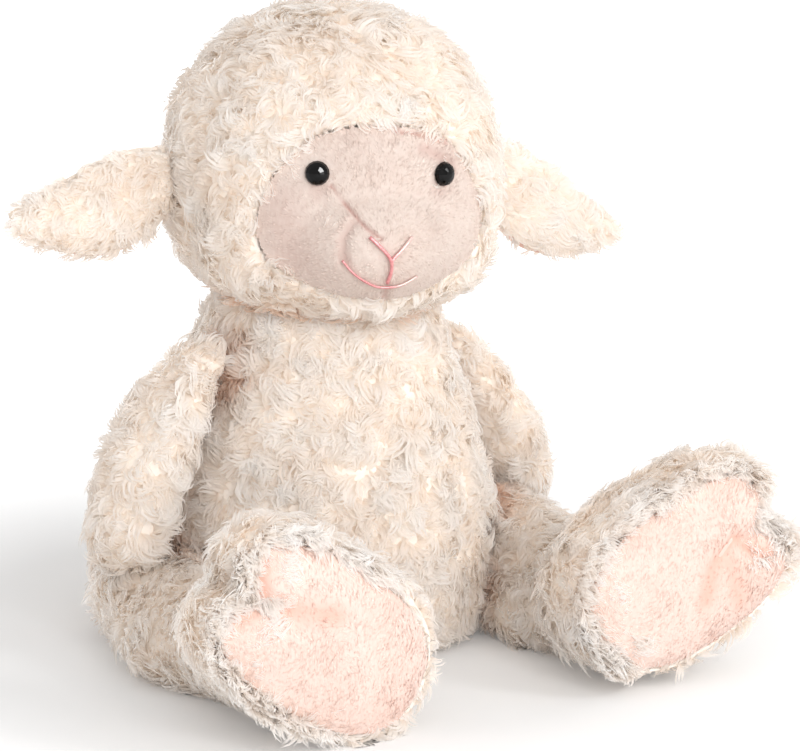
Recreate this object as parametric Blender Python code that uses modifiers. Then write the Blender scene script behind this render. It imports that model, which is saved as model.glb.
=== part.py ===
"""A plush sheep that sits with its legs out, in curly cloth with a short-pile face and soles.

Metres, +Z up. The sheep faces -Y, its own left side is +X, and the origin is the middle of its flat seat.
Every stuffed limb is a cloth cover, open where it is sewn or closed by another panel, round its own filling.
"""

import math

import bmesh
import bpy
from mathutils import Matrix, Vector

MM = 0.001

# Cloth, gaps and helpers
PILE_CLOTH = 3 * MM
SHORT_CLOTH = 2 * MM
FIT_GAP = 0.4 * MM
STUFFING_GAP = 0.8 * MM
JOINT_GAP = 0.4 * MM
SOCKET_GAP = 1.6 * MM
OVERRUN = 10 * MM

# Body
BODY_HEIGHT = 176 * MM
BODY_HALF_WIDTH = 111 * MM
BODY_HALF_DEPTH = 116 * MM
BODY_SET_BACK = 28 * MM
NECK_BALL_RADIUS = 60 * MM
NECK_DROP = 10 * MM
NECK_PIVOT_HEIGHT = BODY_HEIGHT - NECK_DROP
NECK_MOUTH_RADIUS = 38 * MM
PELLET_BAG_RADIUS = 42 * MM
PELLET_BAG_HEIGHT = 24 * MM
SEAT_HALF_WIDTH = 60 * MM
ROOM_STEPS = 6
NECK_RING_ANGLES = (80, 68, 55, 40, 22)
BODY_SEGMENTS = 24
FILLING_SEGMENTS = 12
ROUND_SEGMENTS = 24

# Height, width, depth and set-back, from the seat to the neck
BODY_SHARES = (
    (0.0, 0.84, 0.80, 1.0),
    (0.05, 0.955, 0.92, 1.0),
    (0.15, 1.0, 0.97, 1.0),
    (0.27, 0.985, 1.0, 1.0),
    (0.41, 0.88, 0.98, 0.92),
    (0.56, 0.785, 0.90, 0.66),
    (0.72, 0.69, 0.78, 0.38),
    (0.85, 0.60, 0.66, 0.18),
    (0.94, 0.55, 0.54, 0.04),
)

# Head
HEAD_HALF_WIDTH = 86.5 * MM
HEAD_HALF_DEPTH = 86 * MM
HEAD_BACK_DEPTH = 84 * MM
HEAD_HALF_HEIGHT = 77 * MM
HEAD_LOWER_HEIGHT = 83 * MM
HEAD_RISE = 96 * MM
HEAD_FORWARD = 8 * MM
HEAD_ASIDE = 2.5 * MM
HEAD_TURN = math.radians(-10)
HEAD_TILT = math.radians(3.5)
LOWER_SQUARENESS = 0.9
HEAD_FRONT_ANGLE = 60
HEAD_FRONT_COLUMNS = 14
HEAD_BACK_COLUMNS = 10
HEAD_RINGS = 17
HEAD_STUFFING_GAP = 2.4 * MM

# Muzzle, from the middle of the head
MUZZLE_FORWARD = 58 * MM
MUZZLE_DROP = 37 * MM
MUZZLE_HALF_WIDTH = 37 * MM
MUZZLE_HALF_LENGTH = 44 * MM
MUZZLE_HALF_HEIGHT = 31 * MM
MUZZLE_BLEND = 14 * MM
SEAM_GAP = 1.2 * MM

# Directions from the middle of the head: degrees to its left and degrees up
SEAM_ANGLES = (
    (13.0, 16.5),
    (17.0, 9.5),
    (18.5, 1.0),
    (14.5, -6.5),
    (9.0, -12.5),
    (4.0, -16.5),
    (0.0, -21.0),
    (0.0, -29.0),
    (0.0, -36.0),
)
EDGE_ANGLES = (
    (17.0, 15.8),
    (28.0, 10.5),
    (36.5, 1.0),
    (41.0, -8.0),
    (42.5, -16.0),
    (41.0, -23.5),
    (35.0, -30.0),
    (21.0, -35.0),
    (4.0, -36.5),
)
BROW_ANGLE = 17.5
BROW_FADE_ANGLE = 25.5
FACE_MIDDLE_ANGLE = -11.0
FACE_TOOL_SHARES = ((0.5, 1.3), (1, 1.3), (1, 0.6), (0.5, 0.6))
NORMAL_STEP = 1.0
PANEL_COLUMNS = 7
GUSSET_ROWS = 12
EYE_ANGLES = (23.2, 0.5)
NOSE_ARM_ANGLES = (6.5, -15.5)
NOSE_MIDDLE_ANGLE = -21.0
NOSE_FOOT_ANGLE = -28.0
MOUTH_ANGLES = ((-14.0, -22.5), (-10.0, -26.0), (-4.0, -29.0), (0.0, -29.5), (5.0, -29.0), (10.0, -26.5))

# Eyes and stitches
EYE_RADIUS = 6.4 * MM
EYE_RISE = 4.6 * MM
EYE_LIFT = 0.9 * MM
EYE_SEGMENTS = 16
EYE_RING_ANGLES = (0, 28, 52, 72)
SHANK_RADIUS = 1.8 * MM
SHANK_LENGTH = 12 * MM
WASHER_RADIUS = 8 * MM
WASHER_THICKNESS = 1.6 * MM
STITCH_RADIUS = 1.2 * MM
STITCH_LIFT = 0.4 * MM

# Ears
EAR_LENGTH = 85 * MM
EAR_HALF_WIDTH = 26 * MM
EAR_PILE = 8 * MM
EAR_LINING = 2.2 * MM
EAR_CUP = 5 * MM
EAR_BOW = 6 * MM
EAR_ROOT_ANGLES = {"left": (88.0, -7.5), "right": (88.0, -11.0)}
EAR_DROOP = {"left": math.radians(19), "right": math.radians(10)}
EAR_SWEEP = {"left": math.radians(16), "right": math.radians(2)}
EAR_WIDTH_SHARES = (0.66, 0.93, 1.0, 0.97, 0.84, 0.66, 0.44, 0.16)
EAR_ACROSS_SHARES = (-1, -0.66, -0.33, 0, 0.33, 0.66, 1)
EAR_EDGE_SHARE = 0.25

# Arms
ARM_HALF_THICKNESS = 18 * MM
ARM_HALF_WIDTH = 26 * MM
SHOULDER_DROP = {"left": 30 * MM, "right": 20 * MM}
SHOULDER_HEIGHT = {name: BODY_HEIGHT - drop for name, drop in SHOULDER_DROP.items()}
SHOULDER_OUT = {"left": 81 * MM, "right": 85 * MM}
SHOULDER_FORWARD = {"left": -6 * MM, "right": 13 * MM}
ARM_DROP = {"left": 72 * MM, "right": 81 * MM}
ARM_SPREAD = 37 * MM
ARM_OPENING_RADIUS = 8 * MM
ARM_SEGMENTS = 12
ARM_CAP_ANGLES = (30, 60)
# Drop, spread, thickness and width down the arm
ARM_SHARES = (
    (0.0, 0.0, 0.52, 0.72),
    (0.3, 0.40, 0.84, 0.95),
    (0.62, 0.76, 1.05, 1.03),
    (1.0, 1.0, 1.0, 1.0),
)

# Legs and feet
LEG_RADIUS = 28 * MM
HIP_OUT = {"left": 96 * MM, "right": 102 * MM}
HIP_BACK = 4 * MM
FLOOR_GAP = 0.6 * MM
LEG_LENGTH = 197 * MM
LEG_TOE_OUT = {"left": math.radians(5), "right": 0.0}
LEG_RAISE = math.radians(6)
FOOT_HALF_LENGTH = 68 * MM
FOOT_HALF_WIDTH = 44 * MM
FOOT_ROLL = {"left": math.radians(26), "right": math.radians(34)}
FOOT_TURN = {"left": math.radians(8), "right": math.radians(1)}
SOLE_TILT = math.radians(6)
SOLE_DOME = 12 * MM
CLEFT_DEPTH = 18 * MM
CLEFT_CREASE = 6 * MM
CLEFT_SPREAD = math.radians(13)
LEG_CAP_ANGLES = (60, 30)
LEG_SEGMENTS = 24
LEG_FILLING_SEGMENTS = 12
FOOT_SQUARENESS = 2.6
FOOT_RAISE = {"left": 9 * MM, "right": 0.0}
CLEFT_INSET_SHARE = 0.6
# Distance from the hip to the sole's seam, how far the tube has grown into the foot, and the tube's radius
LEG_SHARES = (
    (0.0, 0.0, 1.0),
    (0.40, 0.02, 0.92),
    (0.56, 0.08, 0.90),
    (0.67, 0.34, 0.90),
    (0.76, 0.74, 0.90),
    (0.86, 0.97, 0.90),
    (0.95, 1.0, 0.90),
    (1.0, 0.94, 0.90),
)
SOLE_SHARES = ((0.86, 0.42), (0.62, 0.78), (0.32, 0.95))

# Tail
TAIL_LENGTH = 42 * MM
TAIL_RADIUS = 13 * MM
TAIL_ROOT_RADIUS = 7 * MM
TAIL_HEIGHT = 66 * MM
TAIL_SLOPE = math.radians(35)
TAIL_ROOT_ANGLES = (60, 30)
TAIL_SEGMENTS = 12
# Distance from the root's ball and how far the tail has swollen
TAIL_SHARES = ((0.0, 0.0), (0.25, 0.5), (0.55, 1.0), (0.8, 0.72))

CREAM = (0.90, 0.80, 0.68, 1)
PINK = (0.88, 0.70, 0.62, 1)
ROSE = (0.85, 0.40, 0.40, 1)
WHITE = (0.95, 0.95, 0.95, 1)
GREY = (0.8, 0.8, 0.8, 1)
BLACK = (0.01, 0.01, 0.01, 1)
SIDES = {"left": 1, "right": -1}


def clear_scene():
    for obj in list(bpy.data.objects):
        bpy.data.objects.remove(obj, do_unlink=True)


def new_collection(name):
    collection = bpy.data.collections.new(name)
    bpy.context.scene.collection.children.link(collection)
    return collection


def material(name, colour, roughness):
    mat = bpy.data.materials.new(name)
    mat.use_nodes = True
    shader = mat.node_tree.nodes["Principled BSDF"]
    shader.inputs["Base Color"].default_value = colour
    shader.inputs["Roughness"].default_value = roughness
    shader.inputs["Metallic"].default_value = 0
    mat.diffuse_color = colour
    return mat


def object_of(name, bm, collection, joint=None):
    bmesh.ops.recalc_face_normals(bm, faces=bm.faces)
    mesh = bpy.data.meshes.new(name)
    bm.to_mesh(mesh)
    bm.free()
    mesh.shade_smooth()
    obj = bpy.data.objects.new(name, mesh)
    collection.objects.link(obj)
    obj.parent = joint
    return obj


def part(name, bm, colour=CREAM, roughness=0.9, joint=None):
    obj = object_of(name, bm, PARTS, joint)
    obj.data.materials.append(material(name, colour, roughness))
    return obj


def cutter(name, bm, joint=None):
    obj = object_of(name, bm, CUTTERS, joint)
    obj.hide_render = True
    obj.display_type = "WIRE"
    return obj


def pivot(name, location, rotation=(0, 0, 0), parent=None):
    empty = bpy.data.objects.new(name, None)
    PARTS.objects.link(empty)
    empty.location = location
    empty.rotation_euler = rotation
    empty.parent = parent
    return empty


def cut(obj, tool, operation="DIFFERENCE"):
    boolean = obj.modifiers.new(tool.name, "BOOLEAN")
    boolean.operation = operation
    boolean.object = tool


def thicken(obj, thickness):
    """Cloth of this thickness, inwards from the modelled surface."""
    solidify = obj.modifiers.new("Cloth", "SOLIDIFY")
    solidify.thickness = thickness
    solidify.offset = -1
    solidify.use_even_offset = True


def shrink(obj, distance):
    """The same surface this far inside itself."""
    displace = obj.modifiers.new("Inside the cloth", "DISPLACE")
    displace.strength = -distance
    displace.mid_level = 0


def skin(rings, first=None, last=None):
    """A surface through rings of points. first and last are pole points, and None leaves that end open."""
    bm = bmesh.new()
    rows = [[bm.verts.new(point) for point in ring] for ring in rings]
    count = len(rows[0])
    for low, high in zip(rows, rows[1:]):
        for i in range(count):
            j = (i + 1) % count
            bm.faces.new((low[i], low[j], high[j], high[i]))
    for pole, row in ((first, rows[0]), (last, rows[-1])):
        if pole is not None:
            tip = bm.verts.new(pole)
            for i in range(count):
                bm.faces.new((row[i], row[(i + 1) % count], tip))
    return bm


def smooth_rows(table, steps):
    """Rows between those of a table, on a smooth curve through them, with this many to each of its spans."""
    rows = []
    for k in range(len(table) - 1):
        p0, p1, p2, p3 = (table[min(max(k + i, 0), len(table) - 1)] for i in (-1, 0, 1, 2))
        for step in range(steps):
            t = step / steps
            rows.append(tuple(catmull(a, b, c, d, t) for a, b, c, d in zip(p0, p1, p2, p3)))
    return rows + [tuple(table[-1])]


def catmull(a, b, c, d, t):
    return 0.5 * (2 * b + (c - a) * t + (2 * a - 5 * b + 4 * c - d) * t**2 + (3 * b - a - 3 * c + d) * t**3)


def turn(i, count):
    return 2 * math.pi * i / count


# Body


def oval(middle, half_width, half_depth, segments):
    """Points round a level oval."""
    return [
        middle + Vector((half_width * math.cos(turn(i, segments)), half_depth * math.sin(turn(i, segments)), 0))
        for i in range(segments)
    ]


def body_surface(segments):
    """Ovals up the pear of the body, then circles over the ball that the head sits on."""
    rings = []
    for height, width, depth, back in BODY_SHARES:
        middle = Vector((0, back * BODY_SET_BACK, height * BODY_HEIGHT))
        rings.append(oval(middle, width * BODY_HALF_WIDTH, depth * BODY_HALF_DEPTH, segments))
    for degrees in NECK_RING_ANGLES:
        angle = math.radians(degrees)
        middle = NECK + Vector((0, 0, NECK_BALL_RADIUS * math.cos(angle)))
        rings.append(oval(middle, NECK_BALL_RADIUS * math.sin(angle), NECK_BALL_RADIUS * math.sin(angle), segments))
    seat = Vector((0, BODY_SET_BACK, 0))
    return skin(rings, seat, NECK + Vector((0, 0, NECK_BALL_RADIUS)))


def body_row(height):
    """Half width, half depth and set-back of the body at a height."""
    share = height / BODY_HEIGHT
    for low, high in zip(BODY_SHARES, BODY_SHARES[1:]):
        if low[0] <= share <= high[0]:
            t = (share - low[0]) / (high[0] - low[0])
            _, width, depth, back = (a + (b - a) * t for a, b in zip(low, high))
    return width * BODY_HALF_WIDTH, depth * BODY_HALF_DEPTH, back * BODY_SET_BACK


def body_side(ahead, height):
    """How far the body's side is from its middle plane at a place ahead of the origin and at a height."""
    half_width, half_depth, back = body_row(height)
    return half_width * math.sqrt(1 - ((ahead + back) / half_depth) ** 2)


def yz(angle):
    """A direction across the sheep's width, at this angle above straight ahead."""
    return Vector((0, -math.cos(angle), math.sin(angle)))


def leg_room(name, side, spare):
    """The space beside the seat that a leg swings through, between its raised and its hanging place."""
    radius = LEG_RADIUS + spare
    hip = Vector((0, HIP_BACK, LEG_RADIUS + FLOOR_GAP))
    quarter = math.radians(90)
    back = 2 * quarter
    arc = [LEG_RAISE + quarter + (back - LEG_RAISE - quarter) * k / ROOM_STEPS for k in range(ROOM_STEPS + 1)]
    high = hip + radius * yz(LEG_RAISE + quarter) + LEG_LENGTH * yz(LEG_RAISE)
    low = hip + radius * yz(back) + LEG_LENGTH * yz(-quarter)
    corner = hip - Vector((0, LEG_LENGTH + radius, LEG_LENGTH + radius))
    outline = [high] + [hip + radius * yz(angle) for angle in arc] + [low, corner]
    bm = bmesh.new()
    inner = side * (SEAT_HALF_WIDTH - spare)
    outer = side * (BODY_HALF_WIDTH + OVERRUN)
    face = bm.faces.new([bm.verts.new((inner, p.y, p.z)) for p in outline])
    made = bmesh.ops.extrude_face_region(bm, geom=[face])
    for item in made["geom"]:
        if isinstance(item, bmesh.types.BMVert):
            item.co.x = outer
    return cutter(name, bm)


def rod(radius, length, start=0.0, segments=ROUND_SEGMENTS):
    """A closed cylinder along +Z from this height."""
    bm = bmesh.new()
    middle = Matrix.Translation((0, 0, start + length / 2))
    bmesh.ops.create_cone(
        bm, cap_ends=True, segments=segments, radius1=radius, radius2=radius, depth=length, matrix=middle
    )
    return bm


def moved(bm, matrix):
    bmesh.ops.transform(bm, matrix=matrix, verts=bm.verts)
    return bm


def make_body():
    cover = part("body_cover", body_surface(BODY_SEGMENTS))
    thicken(cover, PILE_CLOTH)
    between_rows = Matrix.Rotation(math.pi / ROUND_SEGMENTS, 4, "Z")
    mouth = moved(rod(NECK_MOUTH_RADIUS, BODY_HEIGHT), Matrix.Translation(NECK) @ between_rows)
    cut(cover, cutter("neck_mouth_tool", mouth))
    filling = part("body_filling", body_surface(FILLING_SEGMENTS), WHITE)
    shrink(filling, PILE_CLOTH + STUFFING_GAP)
    for name, side in SIDES.items():
        cut(cover, leg_room(f"leg_room_{name}_tool", side, JOINT_GAP))
        cut(filling, leg_room(f"leg_room_{name}_inner_tool", side, JOINT_GAP + PILE_CLOTH))
    make_pellet_bag(filling)


def make_pellet_bag(filling):
    """A flat bag of pellets that weights the seat, in a pocket under the filling."""
    floor = Matrix.Translation((0, BODY_SET_BACK, PILE_CLOTH + STUFFING_GAP))
    bag = part("pellet_bag", moved(rod(PELLET_BAG_RADIUS, PELLET_BAG_HEIGHT), floor), GREY)
    rounding = bag.modifiers.new("Soft edge", "BEVEL")
    rounding.width = PELLET_BAG_HEIGHT / 3
    rounding.segments = 2
    rounding.limit_method = "ANGLE"
    room = rod(PELLET_BAG_RADIUS + FIT_GAP, PELLET_BAG_HEIGHT + FIT_GAP + OVERRUN, -OVERRUN)
    cut(filling, cutter("pellet_bag_room_tool", moved(room, floor)))


# Head


def direction(azimuth, elevation):
    a, e = math.radians(azimuth), math.radians(elevation)
    return Vector((math.sin(a) * math.cos(e), -math.cos(a) * math.cos(e), math.sin(e)))


def skull_reach(way):
    """An egg with its own depth in front and behind and its own height above and below, squarer at its jaw."""
    depth = HEAD_HALF_DEPTH if way.y < 0 else HEAD_BACK_DEPTH
    height = HEAD_HALF_HEIGHT if way.z > 0 else HEAD_LOWER_HEIGHT
    power = 2 + LOWER_SQUARENESS * min(1, max(0, -way.z) * 2)
    terms = (way.x / HEAD_HALF_WIDTH, way.y / depth, way.z / height)
    return sum(abs(term) ** power for term in terms) ** (-1 / power)


def muzzle_reach(way):
    """How far the muzzle's egg reaches in a direction. Past its edge this falls off fast."""
    ray = Vector((way.x / MUZZLE_HALF_WIDTH, way.y / MUZZLE_HALF_LENGTH, way.z / MUZZLE_HALF_HEIGHT))
    start = Vector((0, -MUZZLE_FORWARD / MUZZLE_HALF_LENGTH, -MUZZLE_DROP / MUZZLE_HALF_HEIGHT))
    along = max(0.0, start.dot(ray.normalized()))
    aside = start.length_squared - along**2
    if aside < 1:
        return (along + math.sqrt(1 - aside)) / ray.length
    return along / ray.length - math.sqrt(aside - 1) * MUZZLE_HALF_LENGTH


def head_reach(way):
    """How far the head's surface is from its middle in a direction: the skull and the muzzle, run together."""
    skull, muzzle = skull_reach(way), muzzle_reach(way)
    blend = max(0.0, 1 - abs(skull - muzzle) / (2 * MUZZLE_BLEND))
    return max(skull, muzzle) + blend**2 * MUZZLE_BLEND / 2


def head_point(azimuth, elevation, lift=0.0):
    way = direction(azimuth, elevation)
    return HEAD_MIDDLE + way * (head_reach(way) + lift)


def surface_normal(azimuth, elevation):
    across = head_point(azimuth + NORMAL_STEP, elevation) - head_point(azimuth - NORMAL_STEP, elevation)
    up = head_point(azimuth, elevation + NORMAL_STEP) - head_point(azimuth, elevation - NORMAL_STEP)
    return across.cross(up).normalized()


def head_surface():
    """Rings round the head, with closer columns over the face than behind it."""
    face = 2 * HEAD_FRONT_ANGLE
    columns = [face * (i / HEAD_FRONT_COLUMNS - 1 / 2) for i in range(HEAD_FRONT_COLUMNS + 1)]
    behind = 360 - face
    columns += [HEAD_FRONT_ANGLE + behind * i / HEAD_BACK_COLUMNS for i in range(1, HEAD_BACK_COLUMNS)]
    rings = []
    for k in range(1, HEAD_RINGS):
        elevation = -90 + 180 * k / HEAD_RINGS
        rings.append([head_point(azimuth, elevation) for azimuth in columns])
    return skin(rings, head_point(0, -90), head_point(0, 90))


def face_tool(name, spare):
    """What the face takes out of the curly cover, larger than the face all round by this many degrees."""
    half = smooth_rows(EDGE_ANGLES, 2)
    bottom = (0, EDGE_ANGLES[-1][1])
    outline = [(0, BROW_ANGLE)] + half + [bottom] + [(-azimuth, elevation) for azimuth, elevation in reversed(half)]
    middle = Vector((0, FACE_MIDDLE_ANGLE))
    rings = []
    for size, reach in FACE_TOOL_SHARES:
        ring = []
        for angles in outline:
            away = Vector(angles) - middle
            away *= size * (1 + spare / away.length)
            ring.append(HEAD_MIDDLE + direction(*(middle + away)) * HEAD_HALF_WIDTH * reach)
        rings.append(ring)
    straight = direction(*middle) * HEAD_HALF_WIDTH
    near = HEAD_MIDDLE + straight * FACE_TOOL_SHARES[-1][1]
    far = HEAD_MIDDLE + straight * FACE_TOOL_SHARES[0][1]
    return cutter(name, skin(rings, far, near), HEAD_JOINT)


def panel(name, inner, outer):
    """A panel of short-pile cloth on the head's surface, between two lines of directions."""
    bm = bmesh.new()
    rows = []
    for (a0, e0), (a1, e1) in zip(inner, outer):
        steps = [i / PANEL_COLUMNS for i in range(PANEL_COLUMNS + 1)]
        rows.append([bm.verts.new(head_point(a0 + (a1 - a0) * t, e0 + (e1 - e0) * t)) for t in steps])
    for low, high in zip(rows, rows[1:]):
        for i in range(PANEL_COLUMNS):
            bm.faces.new((low[i], low[i + 1], high[i + 1], high[i]))
    obj = part(name, bm, PINK, 0.85, HEAD_JOINT)
    middle = obj.data.polygons[len(obj.data.polygons) // 2]
    if middle.normal.dot(middle.center - HEAD_MIDDLE) < 0:
        obj.data.flip_normals()
    thicken(obj, SHORT_CLOTH)
    return obj


def make_head():
    gap = math.degrees(SEAM_GAP / HEAD_HALF_DEPTH)
    cover = part("head_cover", head_surface(), joint=HEAD_JOINT)
    thicken(cover, PILE_CLOTH)
    cut(cover, face_tool("face_opening_tool", gap))
    ball = bmesh.new()
    bmesh.ops.create_uvsphere(
        ball, u_segments=ROUND_SEGMENTS, v_segments=ROUND_SEGMENTS // 2, radius=NECK_BALL_RADIUS + SOCKET_GAP
    )
    socket = cutter("neck_socket_tool", ball, HEAD_JOINT)
    cut(cover, socket)
    filling = part("head_filling", head_surface(), WHITE, joint=HEAD_JOINT)
    shrink(filling, PILE_CLOTH + HEAD_STUFFING_GAP)
    cut(filling, socket)
    make_face(gap / 2, filling)


def make_face(gap, filling):
    """A gusset down the forehead to the nose, and a cheek on each side that meets the other under the nose."""
    seam = smooth_rows(SEAM_ANGLES, 2)
    edge = smooth_rows(EDGE_ANGLES, 2)
    left_line = [(max(gap, azimuth) - gap, elevation) for azimuth, elevation in seam[:GUSSET_ROWS]]
    right_line = [(-azimuth, elevation) for azimuth, elevation in left_line]
    gusset = panel("face_gusset", right_line, left_line)
    for vertex in gusset.data.vertices:
        raise_to_brow(vertex)
    for name, side in SIDES.items():
        inner = [(side * (azimuth + gap), elevation) for azimuth, elevation in seam]
        outer = [(side * azimuth, elevation) for azimuth, elevation in edge]
        cheek = panel(f"cheek_{name}", inner, outer)
        make_eye(name, side, cheek, filling)


def raise_to_brow(vertex):
    """Moves a point of the gusset up, so that its upper edge rises to the brow in the middle of the forehead."""
    way = (vertex.co - HEAD_MIDDLE).normalized()
    elevation = math.degrees(math.asin(way.z))
    azimuth = math.degrees(math.atan2(way.x, -way.y))
    half_width, top = SEAM_ANGLES[0]
    fade = max(0.0, 1 - (top - elevation) / BROW_FADE_ANGLE)
    crown = 1 - min(1, abs(azimuth) / half_width) ** 2
    vertex.co = head_point(azimuth, elevation + (BROW_ANGLE - top) * fade * crown)


def make_eye(name, side, cheek, filling):
    """A glossy dome on a shank through the cheek, held behind it by a washer pressed on the shank."""
    azimuth, elevation = side * EYE_ANGLES[0], EYE_ANGLES[1]
    turned = Vector((0, 0, 1)).rotation_difference(surface_normal(azimuth, elevation)).to_matrix().to_4x4()
    stand = Matrix.Translation(head_point(azimuth, elevation)) @ turned
    lift = stand @ Matrix.Translation((0, 0, EYE_LIFT))

    rings = []
    for degrees in EYE_RING_ANGLES:
        angle = math.radians(degrees)
        radius = EYE_RADIUS * math.cos(angle)
        rings.append(oval(Vector((0, 0, EYE_RISE * math.sin(angle))), radius, radius, EYE_SEGMENTS))
    dome = skin(rings, Vector((0, 0, 0)), Vector((0, 0, EYE_RISE)))
    eye = part(f"eye_{name}", moved(dome, lift), BLACK, 0.1, HEAD_JOINT)
    shank = rod(SHANK_RADIUS, SHANK_LENGTH + EYE_RISE / 2, -SHANK_LENGTH, EYE_SEGMENTS)
    cut(eye, cutter(f"shank_{name}_tool", moved(shank, lift), HEAD_JOINT), "UNION")

    through = (3 * SHANK_LENGTH, -3 / 2 * SHANK_LENGTH, EYE_SEGMENTS)
    hole = cutter(f"shank_hole_{name}_tool", moved(rod(SHANK_RADIUS + FIT_GAP, *through), stand), HEAD_JOINT)
    cut(cheek, hole)
    cut(filling, hole)

    depth = SHORT_CLOTH + STUFFING_GAP + WASHER_THICKNESS
    washer = moved(rod(WASHER_RADIUS, WASHER_THICKNESS, -depth), stand)
    washer = part(f"eye_washer_{name}", washer, GREY, 0.5, HEAD_JOINT)
    bore = moved(rod(SHANK_RADIUS + FIT_GAP / 2, *through), stand)
    cut(washer, cutter(f"washer_bore_{name}_tool", bore, HEAD_JOINT))
    room = rod(WASHER_RADIUS + FIT_GAP, WASHER_THICKNESS + FIT_GAP + OVERRUN, -depth - FIT_GAP)
    cut(filling, cutter(f"washer_room_{name}_tool", moved(room, stand), HEAD_JOINT))


def thread(name, line):
    """A tube of thread laid along a line of directions on the face."""
    curve = bpy.data.curves.new(name, "CURVE")
    curve.dimensions = "3D"
    curve.bevel_depth = STITCH_RADIUS
    curve.bevel_resolution = 1
    curve.use_fill_caps = True
    spline = curve.splines.new("POLY")
    spline.points.add(len(line) - 1)
    for point, (azimuth, elevation) in zip(spline.points, line):
        point.co = (*head_point(azimuth, elevation, STITCH_RADIUS + STITCH_LIFT), 1)
    holder = bpy.data.objects.new(name, curve)
    CUTTERS.objects.link(holder)
    bpy.context.view_layer.update()
    mesh = bpy.data.meshes.new_from_object(holder.evaluated_get(bpy.context.evaluated_depsgraph_get()))
    bpy.data.objects.remove(holder)
    bm = bmesh.new()
    bm.from_mesh(mesh)
    bmesh.ops.remove_doubles(bm, verts=bm.verts, dist=STITCH_LIFT / 100)
    return bm


def make_stitches():
    """A nose like a Y, with the foot of the Y down the chin, and a mouth that curves up on both sides of it."""
    across, up = NOSE_ARM_ANGLES
    middle = (0, NOSE_MIDDLE_ANGLE)
    stem = smooth_rows([(-across, up), middle, (0, NOSE_FOOT_ANGLE)], 4)
    nose = part("nose_stitching", thread("nose_stem", stem), ROSE, 0.6, HEAD_JOINT)
    arm = thread("nose_arm", smooth_rows([(across, up), middle], 4))
    cut(nose, cutter("nose_arm_tool", arm, HEAD_JOINT), "UNION")
    part("mouth_stitching", thread("mouth", smooth_rows(MOUTH_ANGLES, 3)), ROSE, 0.6, HEAD_JOINT)


# Ears


def ear_rows():
    """Share of the ear's length and its half width there."""
    last = len(EAR_WIDTH_SHARES) - 1
    return [(k / last, share * EAR_HALF_WIDTH) for k, share in enumerate(EAR_WIDTH_SHARES)]


def ear_layer(name, near, far, root_bead):
    """A leaf along +X from its root line, Z, between two depths along -Y. Its outer face thins to its edge."""
    bm = bmesh.new()
    sheets = []
    for depth, edge_share in ((near, 1), (far, EAR_EDGE_SHARE)):
        sheet = []
        for along, half in ear_rows():
            drop = along * EAR_LENGTH * math.tan(EAR_DROOP[name]) + EAR_BOW * math.sin(math.pi * along)
            row = []
            for share in EAR_ACROSS_SHARES:
                cup = EAR_CUP * (1 - share**2) * math.sin(math.pi * min(1 / 2, along * 2))
                thickness = (depth - near) * (1 - (1 - edge_share) * abs(share) ** 3)
                row.append(bm.verts.new((along * EAR_LENGTH, -near - thickness - cup, share * half - drop)))
            sheet.append(row)
        sheets.append(sheet)
    low, high = sheets
    last = len(EAR_ACROSS_SHARES) - 1
    for below, above in zip(range(len(low) - 1), range(1, len(low))):
        for i in range(last):
            bm.faces.new((low[below][i], low[below][i + 1], low[above][i + 1], low[above][i]))
            bm.faces.new((high[below][i], high[above][i], high[above][i + 1], high[below][i + 1]))
        for i in (0, last):
            bm.faces.new((low[below][i], low[above][i], high[above][i], high[below][i]))
    bead = [bm.verts.new((a.co + b.co) / 2 - Vector((root_bead, 0, 0))) for a, b in zip(low[0], high[0])]
    for i in range(last):
        bm.faces.new((low[0][i], bead[i], bead[i + 1], low[0][i + 1]))
        bm.faces.new((high[0][i], high[0][i + 1], bead[i + 1], bead[i]))
        bm.faces.new((low[-1][i], low[-1][i + 1], high[-1][i + 1], high[-1][i]))
    for i in (0, last):
        bm.faces.new((low[0][i], high[0][i], bead[i]))
    return bm


def make_ear(name, side):
    """Curly cloth behind and thin lining in front, on a root line that lies along the side of the head."""
    azimuth, elevation = EAR_ROOT_ANGLES[name]
    azimuth *= side
    out = surface_normal(azimuth, elevation)
    up = (Vector((0, 0, 1)) - out * out.z).normalized()
    across = side * up.cross(out)
    frame = Matrix((side * out, across, up)).transposed().to_4x4()
    root = head_point(azimuth, elevation) + out * (EAR_PILE / 2 + FIT_GAP)
    sweep = Matrix.Rotation(side * EAR_SWEEP[name], 4, "Z")
    joint = pivot(f"ear_joint_{name}", root, (frame @ sweep).to_euler(), HEAD_JOINT)
    mirror = Matrix.Diagonal((side, 1, 1, 1))
    axis_depth = EAR_LINING + FIT_GAP + EAR_PILE / 2
    lining = ear_layer(name, -axis_depth, EAR_LINING - axis_depth, 0)
    pile = ear_layer(name, -EAR_PILE / 2, EAR_PILE / 2, EAR_PILE / 2)
    part(f"ear_lining_{name}", moved(lining, mirror), PINK, joint=joint)
    part(f"ear_pile_{name}", moved(pile, mirror), joint=joint)


# Arms


def arm_ring(place, way, thick, wide, side, angle, inset):
    """An oval across the arm. An angle over 0 carries it on round the arm's end."""
    out = Vector((side, 0, 0))
    out = (out - way * out.dot(way)).normalized()
    ahead = Vector((0, -1, 0))
    half_thickness = thick * ARM_HALF_THICKNESS - inset
    half_width = wide * ARM_HALF_WIDTH - inset
    middle = place + way * math.sin(angle) * half_thickness
    size = math.cos(angle)
    return [
        middle
        + out * math.cos(turn(i, ARM_SEGMENTS)) * size * half_thickness
        + ahead * math.sin(turn(i, ARM_SEGMENTS)) * size * half_width
        for i in range(ARM_SEGMENTS)
    ]


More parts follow.
